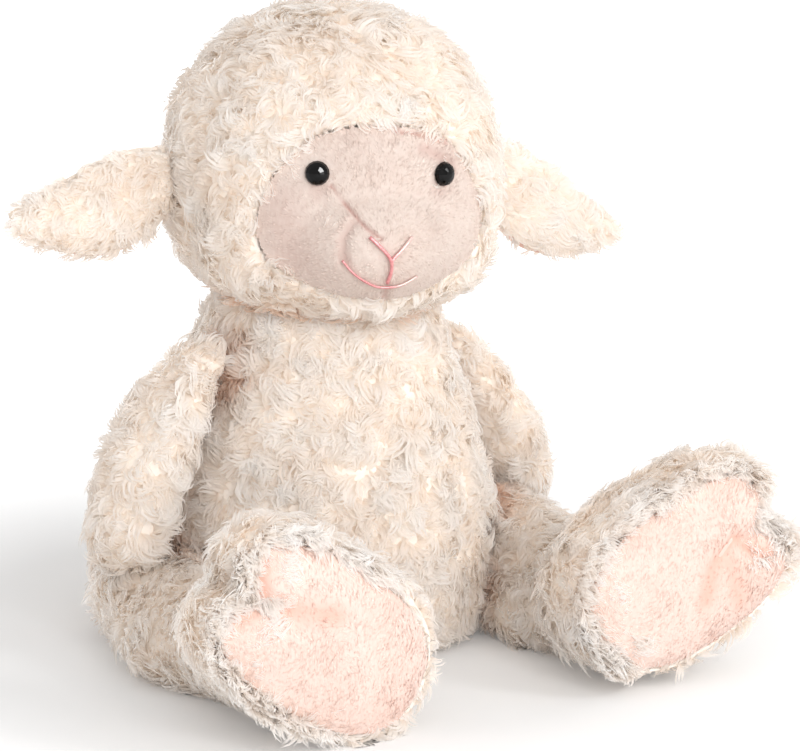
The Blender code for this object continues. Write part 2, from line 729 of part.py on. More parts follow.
def arm_surface(name, inset=0.0):
    """The arm from its rounded shoulder to its paw, this far inside its outer face."""
    side = SIDES[name]
    places = [Vector((side * spread * ARM_SPREAD, 0, -drop * ARM_DROP[name])) for drop, spread, _, _ in ARM_SHARES]
    sizes = [(thick, wide) for _, _, thick, wide in ARM_SHARES]
    up = (places[0] - places[1]).normalized()
    down = (places[-1] - places[-2]).normalized()
    angles = [math.radians(degrees) for degrees in ARM_CAP_ANGLES]
    rings = [arm_ring(places[0], up, *sizes[0], side, angle, inset) for angle in reversed(angles)]
    for k, place in enumerate(places):
        way = (places[min(k + 1, len(places) - 1)] - places[max(k - 1, 0)]).normalized()
        rings.append(arm_ring(place, way, *sizes[k], side, 0, inset))
    rings += [arm_ring(places[-1], down, *sizes[-1], side, angle, inset) for angle in angles]
    top = places[0] + up * (sizes[0][0] * ARM_HALF_THICKNESS - inset)
    tip = places[-1] + down * (sizes[-1][0] * ARM_HALF_THICKNESS - inset)
    return skin(rings, top, tip)


def make_arm(name, side):
    """A cover sewn to the body round an opening on the joint's axis, with its seam's short neck between them."""
    height, ahead, out = SHOULDER_HEIGHT[name], SHOULDER_FORWARD[name], SHOULDER_OUT[name]
    joint = pivot(f"shoulder_joint_{name}", Vector((side * out, -ahead, height)))
    cover = part(f"arm_cover_{name}", arm_surface(name), joint=joint)
    thicken(cover, PILE_CLOTH)
    neck_radius = ARM_OPENING_RADIUS + SHORT_CLOTH
    neck_length = out - body_side(ahead, height - neck_radius) - FIT_GAP
    inwards = Matrix.Rotation(math.radians(-90 * side), 4, "Y")
    neck_start = ARM_SHARES[0][2] * ARM_HALF_THICKNESS - PILE_CLOTH
    neck = rod(neck_radius, neck_length - neck_start, neck_start)
    cut(cover, cutter(f"arm_neck_{name}_tool", moved(neck, inwards), joint), "UNION")
    opening = rod(ARM_OPENING_RADIUS, ARM_HALF_THICKNESS + OVERRUN)
    cut(cover, cutter(f"arm_opening_{name}_tool", moved(opening, inwards), joint))
    part(f"arm_filling_{name}", arm_surface(name, PILE_CLOTH + STUFFING_GAP), WHITE, joint=joint)


# Legs


def oval_reach(angle, along, across):
    """How far a long oval's outline, a little squarer than an ellipse, is from its middle."""
    power = FOOT_SQUARENESS
    return (abs(math.cos(angle) / along) ** power + abs(math.sin(angle) / across) ** power) ** (-1 / power)


def foot_half_height(name):
    steps = [turn(i, LEG_SEGMENTS) for i in range(LEG_SEGMENTS)]
    roll = FOOT_ROLL[name]
    return max(oval_reach(angle, FOOT_HALF_LENGTH, FOOT_HALF_WIDTH) * math.sin(angle + roll) for angle in steps)


def cleft(angle):
    """1 along the cleft between the toes, and less on both sides of it."""
    return math.exp(-((math.remainder(angle, 2 * math.pi) / CLEFT_SPREAD) ** 2))


def leg_ring(name, row, segments, inset=0.0, dent=CLEFT_DEPTH, size=1.0):
    """A ring across the leg, which runs along +Z here with +Y up: a circle that grows into a foot with a cleft toe."""
    distance, grown, tube = row
    roll = FOOT_ROLL[name]
    lift = grown * (foot_half_height(name) - LEG_RADIUS + FOOT_RAISE[name])
    ring = []
    for i in range(segments):
        angle = turn(i, segments)
        foot = oval_reach(angle, FOOT_HALF_LENGTH - inset, FOOT_HALF_WIDTH - inset) - dent * cleft(angle)
        reach = (tube * LEG_RADIUS * (1 - grown) + foot * grown) * size
        out = reach * math.cos(angle + roll)
        up = reach * math.sin(angle + roll)
        lean = grown * (out * math.tan(FOOT_TURN[name]) - up * math.tan(SOLE_TILT))
        ring.append(Vector((SIDES[name] * out, up + lift, distance * LEG_LENGTH + lean)))
    return ring


def leg_rings(name, segments, dent=CLEFT_DEPTH):
    """From the rounded hip to the edge that the sole is sewn to."""
    rings = []
    for degrees in LEG_CAP_ANGLES:
        angle = math.radians(degrees)
        row = (-LEG_RADIUS * math.sin(angle) / LEG_LENGTH, 0, 1)
        rings.append(leg_ring(name, row, segments, size=math.cos(angle)))
    return rings + [leg_ring(name, row, segments, dent=dent) for row in LEG_SHARES]


def sole_rings(name, segments, inset):
    """The sole swells from its seam, less along the crease that runs back from the cleft."""
    dent = CLEFT_DEPTH + CLEFT_INSET_SHARE * inset
    rings = [leg_ring(name, LEG_SHARES[-1], segments, inset, dent)]
    for size, rise in SOLE_SHARES:
        ring = leg_ring(name, LEG_SHARES[-1], segments, inset, dent, size)
        for i, point in enumerate(ring):
            point.z += (SOLE_DOME - CLEFT_CREASE * cleft(turn(i, segments)) * size) * rise
        rings.append(ring)
    return rings


def make_leg(name, side):
    hip = Vector((side * HIP_OUT[name], HIP_BACK, LEG_RADIUS + FLOOR_GAP))
    ahead = Matrix.Rotation(math.radians(90), 4, "X")
    toe_out = Matrix.Rotation(side * LEG_TOE_OUT[name], 4, "Z")
    joint = pivot(f"hip_joint_{name}", hip, (toe_out @ ahead).to_euler())
    back = Vector((0, 0, -LEG_RADIUS))
    cover = part(f"leg_cover_{name}", skin(leg_rings(name, LEG_SEGMENTS), back), joint=joint)
    thicken(cover, PILE_CLOTH)

    inset = PILE_CLOTH + STUFFING_GAP
    middle = foot_half_height(name) - LEG_RADIUS + FOOT_RAISE[name]
    front = Vector((0, middle, LEG_LENGTH + SOLE_DOME))
    sole = part(f"sole_{name}", skin(sole_rings(name, LEG_SEGMENTS, inset), None, front), PINK, joint=joint)
    thicken(sole, SHORT_CLOTH)

    rings = leg_rings(name, LEG_FILLING_SEGMENTS, CLEFT_DEPTH + inset)[:-1]
    rings += sole_rings(name, LEG_FILLING_SEGMENTS, 2 * inset)[1:]
    filling = part(f"leg_filling_{name}", skin(rings, back, front), WHITE, joint=joint)
    shrink(filling, inset + FIT_GAP)


# Tail


def make_tail():
    """A short teardrop whose small round root turns against the back of the body."""
    _, half_depth, back = body_row(TAIL_HEIGHT)
    root = Vector((0, back + half_depth + TAIL_ROOT_RADIUS + FIT_GAP, TAIL_HEIGHT))
    joint = pivot("tail_joint", root, (-math.radians(90) - TAIL_SLOPE, 0, 0))
    rings = []
    for degrees in TAIL_ROOT_ANGLES:
        angle = math.radians(degrees)
        radius = TAIL_ROOT_RADIUS * math.cos(angle)
        rings.append(oval(Vector((0, 0, -TAIL_ROOT_RADIUS * math.sin(angle))), radius, radius, TAIL_SEGMENTS))
    for along, swollen in TAIL_SHARES:
        radius = TAIL_ROOT_RADIUS + (TAIL_RADIUS - TAIL_ROOT_RADIUS) * swollen
        rings.append(oval(Vector((0, 0, along * TAIL_LENGTH)), radius, radius, TAIL_SEGMENTS))
    part("tail", skin(rings, Vector((0, 0, -TAIL_ROOT_RADIUS)), Vector((0, 0, TAIL_LENGTH))), joint=joint)


clear_scene()
PARTS = new_collection("plush_sheep")
CUTTERS = new_collection("cutters")
NECK = Vector((0, 0, NECK_PIVOT_HEIGHT))
HEAD_MIDDLE = Vector((-HEAD_ASIDE, -HEAD_FORWARD, HEAD_RISE))
HEAD_JOINT = pivot("neck_joint", NECK, (0, HEAD_TILT, HEAD_TURN))
make_body()
make_head()
make_stitches()
for side_name, side_sign in SIDES.items():
    make_ear(side_name, side_sign)
    make_arm(side_name, side_sign)
    make_leg(side_name, side_sign)
make_tail()
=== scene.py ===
"""A plush sheep that sits with its legs out, in curly cream cloth with a short-pile face and soles.

Metres, +Z up. The sheep faces -Y and its own left side is +X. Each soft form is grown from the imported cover
and filling, and Geometry Nodes plant the pile on it.
"""

import math
import random

import bmesh
import bpy
import numpy as np
from mathutils import Euler, Matrix, Vector
from mathutils.bvhtree import BVHTree


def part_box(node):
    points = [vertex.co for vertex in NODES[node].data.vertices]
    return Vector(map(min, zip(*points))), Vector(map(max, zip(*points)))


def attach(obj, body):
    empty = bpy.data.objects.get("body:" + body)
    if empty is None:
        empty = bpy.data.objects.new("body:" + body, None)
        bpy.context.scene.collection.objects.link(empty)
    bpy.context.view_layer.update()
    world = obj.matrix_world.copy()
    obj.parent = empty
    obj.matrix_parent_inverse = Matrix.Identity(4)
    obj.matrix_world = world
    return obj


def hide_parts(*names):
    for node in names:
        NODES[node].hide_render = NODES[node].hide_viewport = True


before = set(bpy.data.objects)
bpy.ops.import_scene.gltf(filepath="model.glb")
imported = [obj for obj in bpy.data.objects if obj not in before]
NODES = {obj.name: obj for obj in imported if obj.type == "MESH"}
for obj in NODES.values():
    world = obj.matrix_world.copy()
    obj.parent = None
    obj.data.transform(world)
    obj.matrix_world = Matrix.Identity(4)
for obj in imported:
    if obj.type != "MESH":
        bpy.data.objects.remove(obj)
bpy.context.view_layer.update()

MM = 0.001
SIDES = {"left": 1, "right": -1}
FACE_NODES = ("face_gusset", "cheek_left", "cheek_right")
UP = Vector((0, 0, 1))

# Forms: how fine and how smooth they are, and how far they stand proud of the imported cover
FORM_VOXEL = 3 * MM
FORM_SMOOTHING = 14
FORM_PROUD = 0.4 * MM
FACE_VOXEL = 1.15 * MM
FACE_SMOOTHING = 6
FACE_PROUD = 0.3 * MM
SOLE_VOXEL = 1.4 * MM
SOLE_SMOOTHING = 5
SOLE_PROUD = 0.2 * MM
SMALL_VOXEL = 2 * MM
EAR_PROUD = -0.5 * MM
TAIL_PROUD = 0
SEAM_SWELL = 1.8 * MM
TUCK = 2.9 * MM
FLOOR_CLEARANCE = 0.3 * MM
MERGE_DISTANCE = 0.01 * MM

# How far over a form another piece may lie and still cover it
FACE_OVER = 12 * MM
SEAM_OVER = 2 * MM
CHIN_OVER = 6 * MM
PANEL_OVER = 5 * MM

# Cosines of the angles within which a place counts as turned a given way
FACE_OUTWARD = 0.2
SOLE_FORWARD = 0.3
SOLE_SIDEWAYS = 0.5
EAR_UPWARD = 0.2
SEAT_DOWNWARD = 0.9
TURNED_AWAY = 0.1

# Details of the pieces
REST_DEPTH = 12 * MM
REST_SHARE = 0.5
PILE_SPLIT = 30 * MM
EYE_CLEARANCE = 7.5 * MM
THREAD_SLIMMING = {"nose_stitching": 0.2 * MM, "mouth_stitching": 0.5 * MM}
FADE_WIDTH = 8 * MM
FADE_LIMIT = 0.75
SHARP_ANGLE = math.radians(50)
SHARP_CREASE = 0.7
PLANE_ANGLE = math.radians(40)
QUAD_ANGLE = math.radians(60)

# Where the filling makes a form fuller than its cover: middle, push and reach in millimetres
SWELLS = {
    "body": (
        ((30, -84, 14), (2, -7, -2), 34),
        ((-95, 30, 14), (-6, 0, -3), 40),
        ((95, 30, 14), (6, 0, -3), 40),
    ),
    "leg_right": (((-130, -52, 12), (-11, -4, -4), 40),),
    "leg_left": (
        ((68, -88, 14), (-20, -3, -8), 38),
        ((104, -30, 52), (3, 0, 8), 34),
        ((120, -90, 10), (6, 0, -4), 40),
    ),
    "arm_left": (((120, -12, 84), (6, 0, -8), 30),),
    "arm_right": (((-120, -15, 80), (-5, -4, -8), 34),),
}

# Locks of pile. A real fibre is under 0.1 mm thick, so each strand stands for a bundle of them.
LOCK_VARIANTS = 6
LOCK_WIDTH_SHARES = (0.75, 1.0, 1.0, 0.85, 0.6)
LOCK_ARCH = 0.45
STRAND_SHARES = (1, 1, 0.9, 0.65)
STRAND_OVERLAP = 0.8
STRAND_SHIFT = 0.12
STRAND_STRAY = 0.12
STRAND_TWIST = 0.35
BEND_SHARES = (0.5, 1.2)
BEND_START = 0.6
WAVER = 8
PATH_STEPS = 24
# Length, width, first and last lean, sideways curl, strands and least share of the length
CURL = (16.5 * MM, 6.6 * MM, 36, 106, 80, 8, 0.65)
FRINGE = (17 * MM, 6 * MM, 26, 86, 40, 8, 0.65)
NAP = (3 * MM, 1.4 * MM, 72, 87, 14, 3, 0.7)

# How locks are planted: how close, how far they turn with their clump, and how much they vary
LOCK_SPACING = 3.3 * MM
NAP_SPACING = 1.35 * MM
CLUMP_WIDTH = 17 * MM
CLUMP_PULL = 0.8
CLUMP_EDGE = (0.1, 0.75)
CLUMP_LENGTHS = (1.15, 0.7)
LENGTH_SHARES = (0.8, 1.15)
WANDERS_PER_METRE = 38.0
WANDER_PULL = 7.0
JOLT = Vector((0.1, 0.08, 0.25))
DENSITY_LIMIT = 800000.0
SPARSE = 0.4
SPARSE_LIMIT = SPARSE + 0.01

# Long tufts at gaps and round the soles, and the short naps
GAP_BAND = 13 * MM
GAP_TUFTS = {"spacing": 2.6 * MM, "length": 0.9}
FRINGE_BAND = 9 * MM
FOOT_FRINGE = {"spacing": 1.5 * MM, "comb": 4.0, "turn_of_clumps": 0.2}
RIM_FRINGE = {"spacing": 1.4 * MM, "comb": 4.0, "turn_of_clumps": 0.2, "length": 0.75}
EAR_RIM_FUR = {"spacing": 2 * MM, "comb": 1.5, "length": 0.7}
FACE_NAP = {"spacing": NAP_SPACING, "comb": 3.0, "turn_of_clumps": 0.2}
SOLE_NAP = {"spacing": NAP_SPACING, "comb": 2.0, "turn_of_clumps": 0.3}

# Painted shade: a peach tone laid on pile and backing where a form comes close to another part, as in a
# crevice
CREVICE_SHADE = "#EBBE98"
CREVICE_SHADE_REACH = 9 * MM
CREVICE_SHADE_SHARE = 0.5

# The head's own frame, and how its pile is combed down from the crown
NECK = Vector((0, 0, 166 * MM))
HEAD_MIDDLE = Vector((-2.5 * MM, -8 * MM, 96 * MM))
HEAD_TURN = Euler((0, math.radians(3.5), math.radians(-10)))
HEAD_FRAME = Matrix.Translation(NECK) @ HEAD_TURN.to_matrix().to_4x4()
HEAD_COMB_FORWARD = 0.6
HEAD_COMB_DOWN = 0.5
HEAD_COMB_PULL = 0.8

# Camera, as fitted to the photograph
CAMERA_TURN = math.radians(29)
CAMERA_RISE = math.radians(13)
CAMERA_DISTANCE = 2.0
PICTURE_SCALE = 0.54 * MM
PICTURE_WIDTH = 800
PICTURE_HEIGHT = 751
MIDDLE_HEIGHT = 138 * MM
MIDDLE_SHIFT = 77 * PICTURE_SCALE
SENSOR_WIDTH = 36

CAMERA_RIGHT = Vector((math.cos(CAMERA_TURN), -math.sin(CAMERA_TURN), 0))
CAMERA_AWAY = Vector(
    (
        math.sin(CAMERA_TURN) * math.cos(CAMERA_RISE),
        math.cos(CAMERA_TURN) * math.cos(CAMERA_RISE),
        -math.sin(CAMERA_RISE),
    )
)
CAMERA_UP = CAMERA_RIGHT.cross(CAMERA_AWAY)
CAMERA_TARGET = UP * MIDDLE_HEIGHT + CAMERA_RIGHT * MIDDLE_SHIFT

# The side of each sole where no fringe stands out, and the cosine of the angle that it spans
CLEAN_SIDE = {"right": CAMERA_RIGHT * 0.93 - UP * 0.37, "left": CAMERA_RIGHT * 0.5 - UP * 0.87}
CLEAN_SPAN = 0.42

# Each lamp's place, size and watts
LAMPS = {
    "key": ((0.95, -1.7, 1.25), 0.45, 8),
    "front": ((-0.3, -2.0, 0.55), 1.0, 13),
    "side": ((1.5, -1.5, 0.6), 1.0, 1),
    "back": ((0.6, 2.0, 1.3), 1.6, 5),
    "fill": ((-0.25, -2.2, 1.3), 0.4, 6),
}
# The white sky as it lights the sheep, and as it is seen
SKY_STRENGTHS = (0.66, 1.0)
CARD_PLACE = Vector((-0.25, -2.2, 1.2))
CARD_AIM = UP * 0.25
CARD_SIZE = 0.6
CARD_STRENGTH = 45.0
FLOOR_SIZE = 30
# From this near to this far the floor's glow goes from weak to strong
GLOW_DISTANCES = (0.2, 0.5)
GLOW_STRENGTHS = (0.1, 0.7)

# Soft creases by their pixels in the photograph, with width, depth and how much painted shade each lays on the
# cloth. The creases are pressed in, and the darkening in them is painted shade.
FACE_CREASES_AND_SHADE = (
    (((331, 186), (346, 205), (364, 226), (381, 240)), 1.1 * MM, 1.3 * MM, 0.8),
    (((354, 222), (343, 240), (344, 262)), 3.0 * MM, 1.6 * MM, 0.35),
    (((396, 132), (416, 134), (446, 143)), 1.2 * MM, 1.0 * MM, 0.7),
    (((424, 150), (440, 156), (452, 166)), 4.0 * MM, 1.0 * MM, 0.4),
    (((388, 284), (384, 298)), 1.6 * MM, 1.2 * MM, 0.5),
    # Painted shade only, with no crease: the cheek turned from the light
    (((283, 205), (292, 255)), 14.0 * MM, 0.0, 0.22),
    # Dents round the eyes, with painted shade in them
    (((318, 188), (318, 190)), 6.0 * MM, 1.4 * MM, 0.3),
    (((441, 188), (441, 190)), 6.0 * MM, 1.4 * MM, 0.3),
)
SOLE_CREASES = {
    "right": (
        (((256, 604), (280, 608)), 4.0 * MM, 2.8 * MM, 0.8),
        (((280, 608), (338, 617)), 6.0 * MM, 1.8 * MM, 0.6),
        (((262, 560), (262, 603)), 5.0 * MM, 1.4 * MM, 0.7),
        (((262, 604), (240, 622)), 5.0 * MM, 1.2 * MM, 0.5),
    ),
    "left": (
        (((735, 541), (724, 556)), 4.0 * MM, 2.8 * MM, 0.8),
        (((724, 556), (714, 570), (707, 602)), 6.0 * MM, 1.8 * MM, 0.6),
        (((738, 540), (770, 556)), 4.0 * MM, 1.4 * MM, 0.7),
        (((728, 560), (740, 600)), 7.0 * MM, 0.8 * MM, 0.5),
    ),
}


# Objects and meshes


def object_of(name, bm):
    """A new object in the scene from a bmesh, which is used up."""
    mesh = bpy.data.meshes.new(name)
    bm.to_mesh(mesh)
    bm.free()
    obj = bpy.data.objects.new(name, mesh)
    bpy.context.scene.collection.objects.link(obj)
    return obj


def settle(obj):
    """Turns the object's modifiers into its plain mesh."""
    graph = bpy.context.evaluated_depsgraph_get()
    mesh = bpy.data.meshes.new_from_object(obj.evaluated_get(graph))
    obj.modifiers.clear()
    obj.data = mesh
    mesh.name = obj.name
    return obj


def twin(form):
    """A copy of a form with a mesh of its own."""
    copy = form.copy()
    copy.data = form.data.copy()
    return copy


def copy_of(name, nodes):
    """One mesh of merged copies of these CAD nodes."""
    bm = bmesh.new()
    for node in nodes:
        bm.from_mesh(NODES[node].data)
    bmesh.ops.remove_doubles(bm, verts=bm.verts, dist=MERGE_DISTANCE)
    return object_of(name, bm)


def tree_of(*nodes):
    """A search tree over CAD nodes, to ask what lies over a place."""
    bm = bmesh.new()
    for node in nodes:
        bm.from_mesh(NODES[node].data)
    tree = BVHTree.FromBMesh(bm)
    bm.free()
    return tree


def middle_of(node):
    """The middle of a CAD node's box."""
    return sum((Vector(corner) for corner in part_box(node)), Vector()) / 2


def places_and_normals(form):
    """Two arrays with a row for each vertex of a form."""
    size = len(form.data.vertices) * 3
    places = np.empty(size, np.float32)
    normals = np.empty(size, np.float32)
    form.data.vertices.foreach_get("co", places)
    form.data.vertex_normals.foreach_get("vector", normals)
    return places.reshape(-1, 3), normals.reshape(-1, 3)


def note(form, name, values, kind="FLOAT", key="value"):
    """Writes an attribute of a form's vertices, and adds it first where the form has none of this name."""
    known = form.data.attributes.get(name) or form.data.attributes.new(name, kind, "POINT")
    known.data.foreach_set(key, np.asarray(values, np.float32).ravel())


def pile_of(form):
    """How much pile each vertex of a form has, from 0 to 1."""
    values = np.empty(len(form.data.vertices), np.float32)
    form.data.attributes["pile"].data.foreach_get("value", values)
    return values


def mark(form, pile, comb):
    """Writes how much pile a form has and which way it is combed, from functions of place and normal."""
    pairs = [(Vector(place), Vector(normal)) for place, normal in zip(*places_and_normals(form))]
    note(form, "pile", [pile(place, normal) for place, normal in pairs])
    note(form, "comb", [comb(place, normal) for place, normal in pairs], "FLOAT_VECTOR", "vector")


def dress(piece, body, material, slot, *nodes):
    """Gives a piece its material, and lets it ride on a body in place of these CAD nodes."""
    if material:
        piece.data.materials.clear()
        piece.data.materials.append(material)
    for polygon in piece.data.polygons:
        polygon.use_smooth = True
    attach(piece, body)
    if nodes:
        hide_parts(*nodes)
    return piece


# Shader and geometry nodes


def linear(colour):
    """An sRGB hex colour as linear RGBA."""
    channels = [int(colour[i : i + 2], 16) / 255 for i in (1, 3, 5)]
    return (*[c / 12.92 if c <= 0.04045 else ((c + 0.055) / 1.055) ** 2.4 for c in channels], 1)


def add(tree, kind, inputs=None, **settings):
    """Adds a node, gives it its settings, and fills its inputs with values or links."""
    node = tree.nodes.new(kind)
    for name, value in settings.items():
        setattr(node, name, value)
    for key, value in (inputs or {}).items():
        if isinstance(value, bpy.types.NodeSocket):
            tree.links.new(value, node.inputs[key])
        else:
            node.inputs[key].default_value = value
    return node


def number_math(tree, operation, *values):
    """One operation on numbers."""
    return add(tree, "ShaderNodeMath", dict(enumerate(values)), operation=operation).outputs[0]


def vector_math(tree, operation, *values, **named):
    """One operation on vectors."""
    inputs = {**dict(enumerate(values)), **named}
    return add(tree, "ShaderNodeVectorMath", inputs, operation=operation).outputs[0]


def mix(tree, share, first, second, blend="MIX"):
    """A colour that goes from the first to the second."""
    inputs = {"Factor": share, 6: first, 7: second}
    return add(tree, "ShaderNodeMix", inputs, data_type="RGBA", blend_type=blend).outputs[2]


def mix_numbers(tree, share, first, second):
    """A number that goes from the first to the second."""
    return add(tree, "ShaderNodeMix", {"Factor": share, 2: first, 3: second}, data_type="FLOAT").outputs[0]


def ramp(tree, value, *stops):
    """A colour ramp from places and hex colours."""
    node = add(tree, "ShaderNodeValToRGB", {"Fac": value})
    elements = node.color_ramp.elements
    while len(elements) < len(stops):
        elements.new(1)
    for element, (place, colour) in zip(elements, stops):
        element.position = place
        element.color = linear(colour)
    return node.outputs["Color"]


def carried(tree, name):
    """A number that the mesh carries, in a material."""
    return add(tree, "ShaderNodeAttribute", attribute_name=name).outputs["Fac"]


def carried_by_form(tree, name, kind):
    """An attribute that the form carries, in Geometry Nodes."""
    return add(tree, "GeometryNodeInputNamedAttribute", {"Name": name}, data_type=kind).outputs["Attribute"]


def own_place(tree):
    """The place on the piece itself, so that patterns move with it."""
    return add(tree, "ShaderNodeTexCoord").outputs["Object"]


def noise(tree, place, size, detail):
    """Soft patches of about this size."""
    inputs = {"Vector": place, "Scale": 1 / size, "Detail": detail}
    return add(tree, "ShaderNodeTexNoise", inputs).outputs["Fac"]


def emboss(tree, shader, height, strength, depth):
    """Bumps in a surface."""
    bump = add(tree, "ShaderNodeBump", {"Height": height, "Strength": strength, "Distance": depth})
    tree.links.new(bump.outputs["Normal"], shader.inputs["Normal"])


def new_material(name, **inputs):
    """A Principled material with these constants, and its tree and shader."""
    material = bpy.data.materials.new(name)
    material.use_nodes = True
    tree = material.node_tree
    shader = tree.nodes["Principled BSDF"]
    for key, value in inputs.items():
        shader.inputs[key.replace("_", " ")].default_value = value
    return material, tree, shader


def empty_material(name):
    """A material without any node, and its tree."""
    material = bpy.data.materials.new(name)
    material.use_nodes = True
    material.node_tree.nodes.clear()
    return material, material.node_tree


# Materials. One pixel of the picture is 0.54 mm, so patterns finer than about 1 mm are drawn coarser.


def plush_pile(name, translucency, root, lower, upper, tip):
    """Curly polyester plush: matt fibres that let light through, near white at the tips and a little warmer
    toward the roots as painted shade deep in the pile.
    """
    material, tree, shader = new_material(
        name, Roughness=0.9, Sheen_Weight=0.4, Sheen_Roughness=0.5, Specular_IOR_Level=0.1
    )
    # Painted shade: the strands' colour grows warmer toward the roots, for the shade deep in the pile
    strand = ramp(tree, carried(tree, "along"), (0.0, root), (0.25, lower), (0.5, upper), (1.0, tip))
    tones = ((0.0, "#FCF7F2"), (0.35, "#FEFBF8"), (0.65, "#FFFDFB"), (1.0, "#FFFFFF"))
    colour = mix(tree, 1.0, strand, ramp(tree, carried(tree, "tone"), *tones), "MULTIPLY")
    # Painted shade: a peach tone in crevices where another part comes close
    colour = mix(tree, carried(tree, "warm"), colour, linear(CREVICE_SHADE))
    tree.links.new(colour, shader.inputs["Base Color"])
    through = add(tree, "ShaderNodeBsdfTranslucent", {"Color": colour}).outputs[0]
    both = add(tree, "ShaderNodeMixShader", {0: translucency, 1: shader.outputs[0], 2: through}).outputs[0]
    tree.links.new(both, tree.nodes["Material Output"].inputs["Surface"])
    return material


def pile_backing():
    """The knitted backing that the pile is rooted in, with 1.1 mm loops: dull, and a little warmer than the
    pile as painted shade between the tufts, and warmer still as painted crevice shade where another part comes
    close.
    """
    material, tree, shader = new_material("knitted_pile_backing", Roughness=0.95, Specular_IOR_Level=0.1)
    place = own_place(tree)
    patches = noise(tree, place, 11.1 * MM, 4.0)
    # Painted shade: the backing's peach cream stands for the shade between the tufts
    colour = ramp(tree, patches, (0.3, "#FBF0E5"), (0.7, "#FCF5ED"))
    # Painted shade: a peach tone in crevices where another part comes close
    colour = mix(tree, carried(tree, "warm"), colour, linear(CREVICE_SHADE))
    tree.links.new(colour, shader.inputs["Base Color"])
    emboss(tree, shader, noise(tree, place, 1.11 * MM, 2.0), 0.5, 0.5 * MM)
    return material


def short_pile(name, dark, light, deep, streak, patch):
    """Velboa, a polyester cloth with a 2 mm nap: soft-edged, with faint streaks where the nap is brushed.
    The streaks' three sizes and the patches' size are in millimetres, and real streaks are finer."""
    material, tree, shader = new_material(
        name, Roughness=0.8, Sheen_Weight=0.35, Sheen_Roughness=0.45, Specular_IOR_Level=0.2
    )
    place = own_place(tree)
    cloud = noise(tree, place, patch * MM, 3.0)
    scales = [1 / (size * MM) for size in streak]
    brushed = add(tree, "ShaderNodeMapping", {"Vector": place, "Scale": scales}).outputs["Vector"]
    streaks = noise(tree, brushed, 1.0, 5.0)
    colour = ramp(tree, mix_numbers(tree, 0.45, cloud, streaks), (0.36, dark), (0.62, light))
    # The crease attribute lays on the third colour: painted shade in the creases of face and soles, and on the
    # ear lining the cream of its upward-facing half
    colour = mix(tree, carried(tree, "crease"), colour, linear(deep))
    tree.links.new(colour, shader.inputs["Base Color"])
    emboss(tree, shader, streaks, 0.35, 0.4 * MM)
    return material


def eye_plastic():
    """Black polished acrylic, as in safety eyes: one deep, wet-looking highlight."""
    material, tree, shader = new_material("acrylic_eye", Roughness=0.05, IOR=1.49, Specular_IOR_Level=0.2)
    dust = noise(tree, own_place(tree), 3.33 * MM, 2.0)
    tree.links.new(ramp(tree, dust, (0.3, "#020101"), (0.8, "#050403")), shader.inputs["Base Color"])
    return material


def plain_cloth(name, dark, light):
    """Woven cloth of an inner bag: plain and matt, with its fine threads drawn 2 mm apart."""
    material, tree, shader = new_material(name, Roughness=0.9, Specular_IOR_Level=0.2)
    bands = {"Vector": own_place(tree), "Scale": 160.0, "Distortion": 1.0}
    weave = add(tree, "ShaderNodeTexWave", bands, bands_direction="DIAGONAL").outputs["Fac"]
    tree.links.new(ramp(tree, weave, (0.2, dark), (0.8, light)), shader.inputs["Base Color"])
    emboss(tree, shader, weave, 0.4, 0.3 * MM)
    return material


def thread_material():
    """Rayon embroidery thread: pink, with the low gloss of twisted filament, paler toward the camera's right
    of the nose.
    """
    material, tree, shader = new_material("rayon_thread", Roughness=0.45, Sheen_Weight=0.2)
    twist = noise(tree, own_place(tree), 1.43 * MM, 2.0)
    colour = ramp(tree, twist, (0.3, "#D2787B"), (0.7, "#EBA09F"))
    colour = mix(tree, carried(tree, "faded"), colour, linear("#E8CFC4"))
    tree.links.new(colour, shader.inputs["Base Color"])
    return material


# Tufts and the tree that plants them


def curled(chance, length, steps, first, last, bend):
    """Points up a curling path, each with the way it goes and the way across it."""
    place = Vector()
    waver = chance.uniform(-WAVER, WAVER)
    path = []
    for k in range(steps + 1):
        t = k / steps
        lean = math.radians(first + (last - first) * t + waver)
        swing = math.radians(bend * (2 * t - BEND_START) + waver)
        way = Vector((math.sin(lean) * math.cos(swing), math.sin(lean) * math.sin(swing), math.cos(lean)))
        path.append((place.copy(), way, Vector((-math.sin(swing), math.cos(swing), 0))))
        place += way * length / steps
    return path


def lock(name, seed, length, width, first, last, curl, strands, least):
    """A lock of pile: fine flat strands side by side over an arch, that curl over along +X to a point."""
    chance = random.Random(seed)
    bm = bmesh.new()
    along = bm.verts.layers.float.new("along")
    bend = curl * chance.uniform(*BEND_SHARES) * (1 if seed % 2 else -1)
    path = curled(chance, length, PATH_STEPS, first, last, bend)
    for k in range(strands):
        across = (2 * k + 1) / strands - 1 + chance.uniform(-STRAND_SHIFT, STRAND_SHIFT)
        reach = chance.uniform(least, 1.0)
        stray = chance.uniform(-STRAND_STRAY, STRAND_STRAY) * length
        twist = chance.uniform(-STRAND_TWIST, STRAND_TWIST) - LOCK_ARCH * across
        rows = []
        for i, share in enumerate(LOCK_WIDTH_SHARES):
            t = i / (len(LOCK_WIDTH_SHARES) - 1)
            place, way, flat = path[round(t * reach * PATH_STEPS)]
            over = flat.cross(way)
            aside = flat * across * share + over * LOCK_ARCH * share * (1 - across * across)
            middle = place + aside * width / 2 + flat * stray * t * t
            edge = flat * math.cos(twist) + over * math.sin(twist)
            if i < len(STRAND_SHARES):
                half = width / strands * STRAND_OVERLAP * STRAND_SHARES[i]
                row = [bm.verts.new(middle + edge * half * j) for j in (-1, 1)]
            else:
                row = [bm.verts.new(middle)]
            for vertex in row:
                vertex[along] = t
            rows.append(row)
        for low, high in zip(rows, rows[1:]):
            bm.faces.new((low[0], *high, low[1])).smooth = True
    return object_of(name, bm)


def locks(name, shape):
    """A collection of locks to plant from."""
    collection = bpy.data.collections.new(name)
    for seed in range(LOCK_VARIANTS):
        obj = lock(f"{name}_{seed}", seed + 1, *shape)
        bpy.context.scene.collection.objects.unlink(obj)
        collection.objects.link(obj)
    return collection


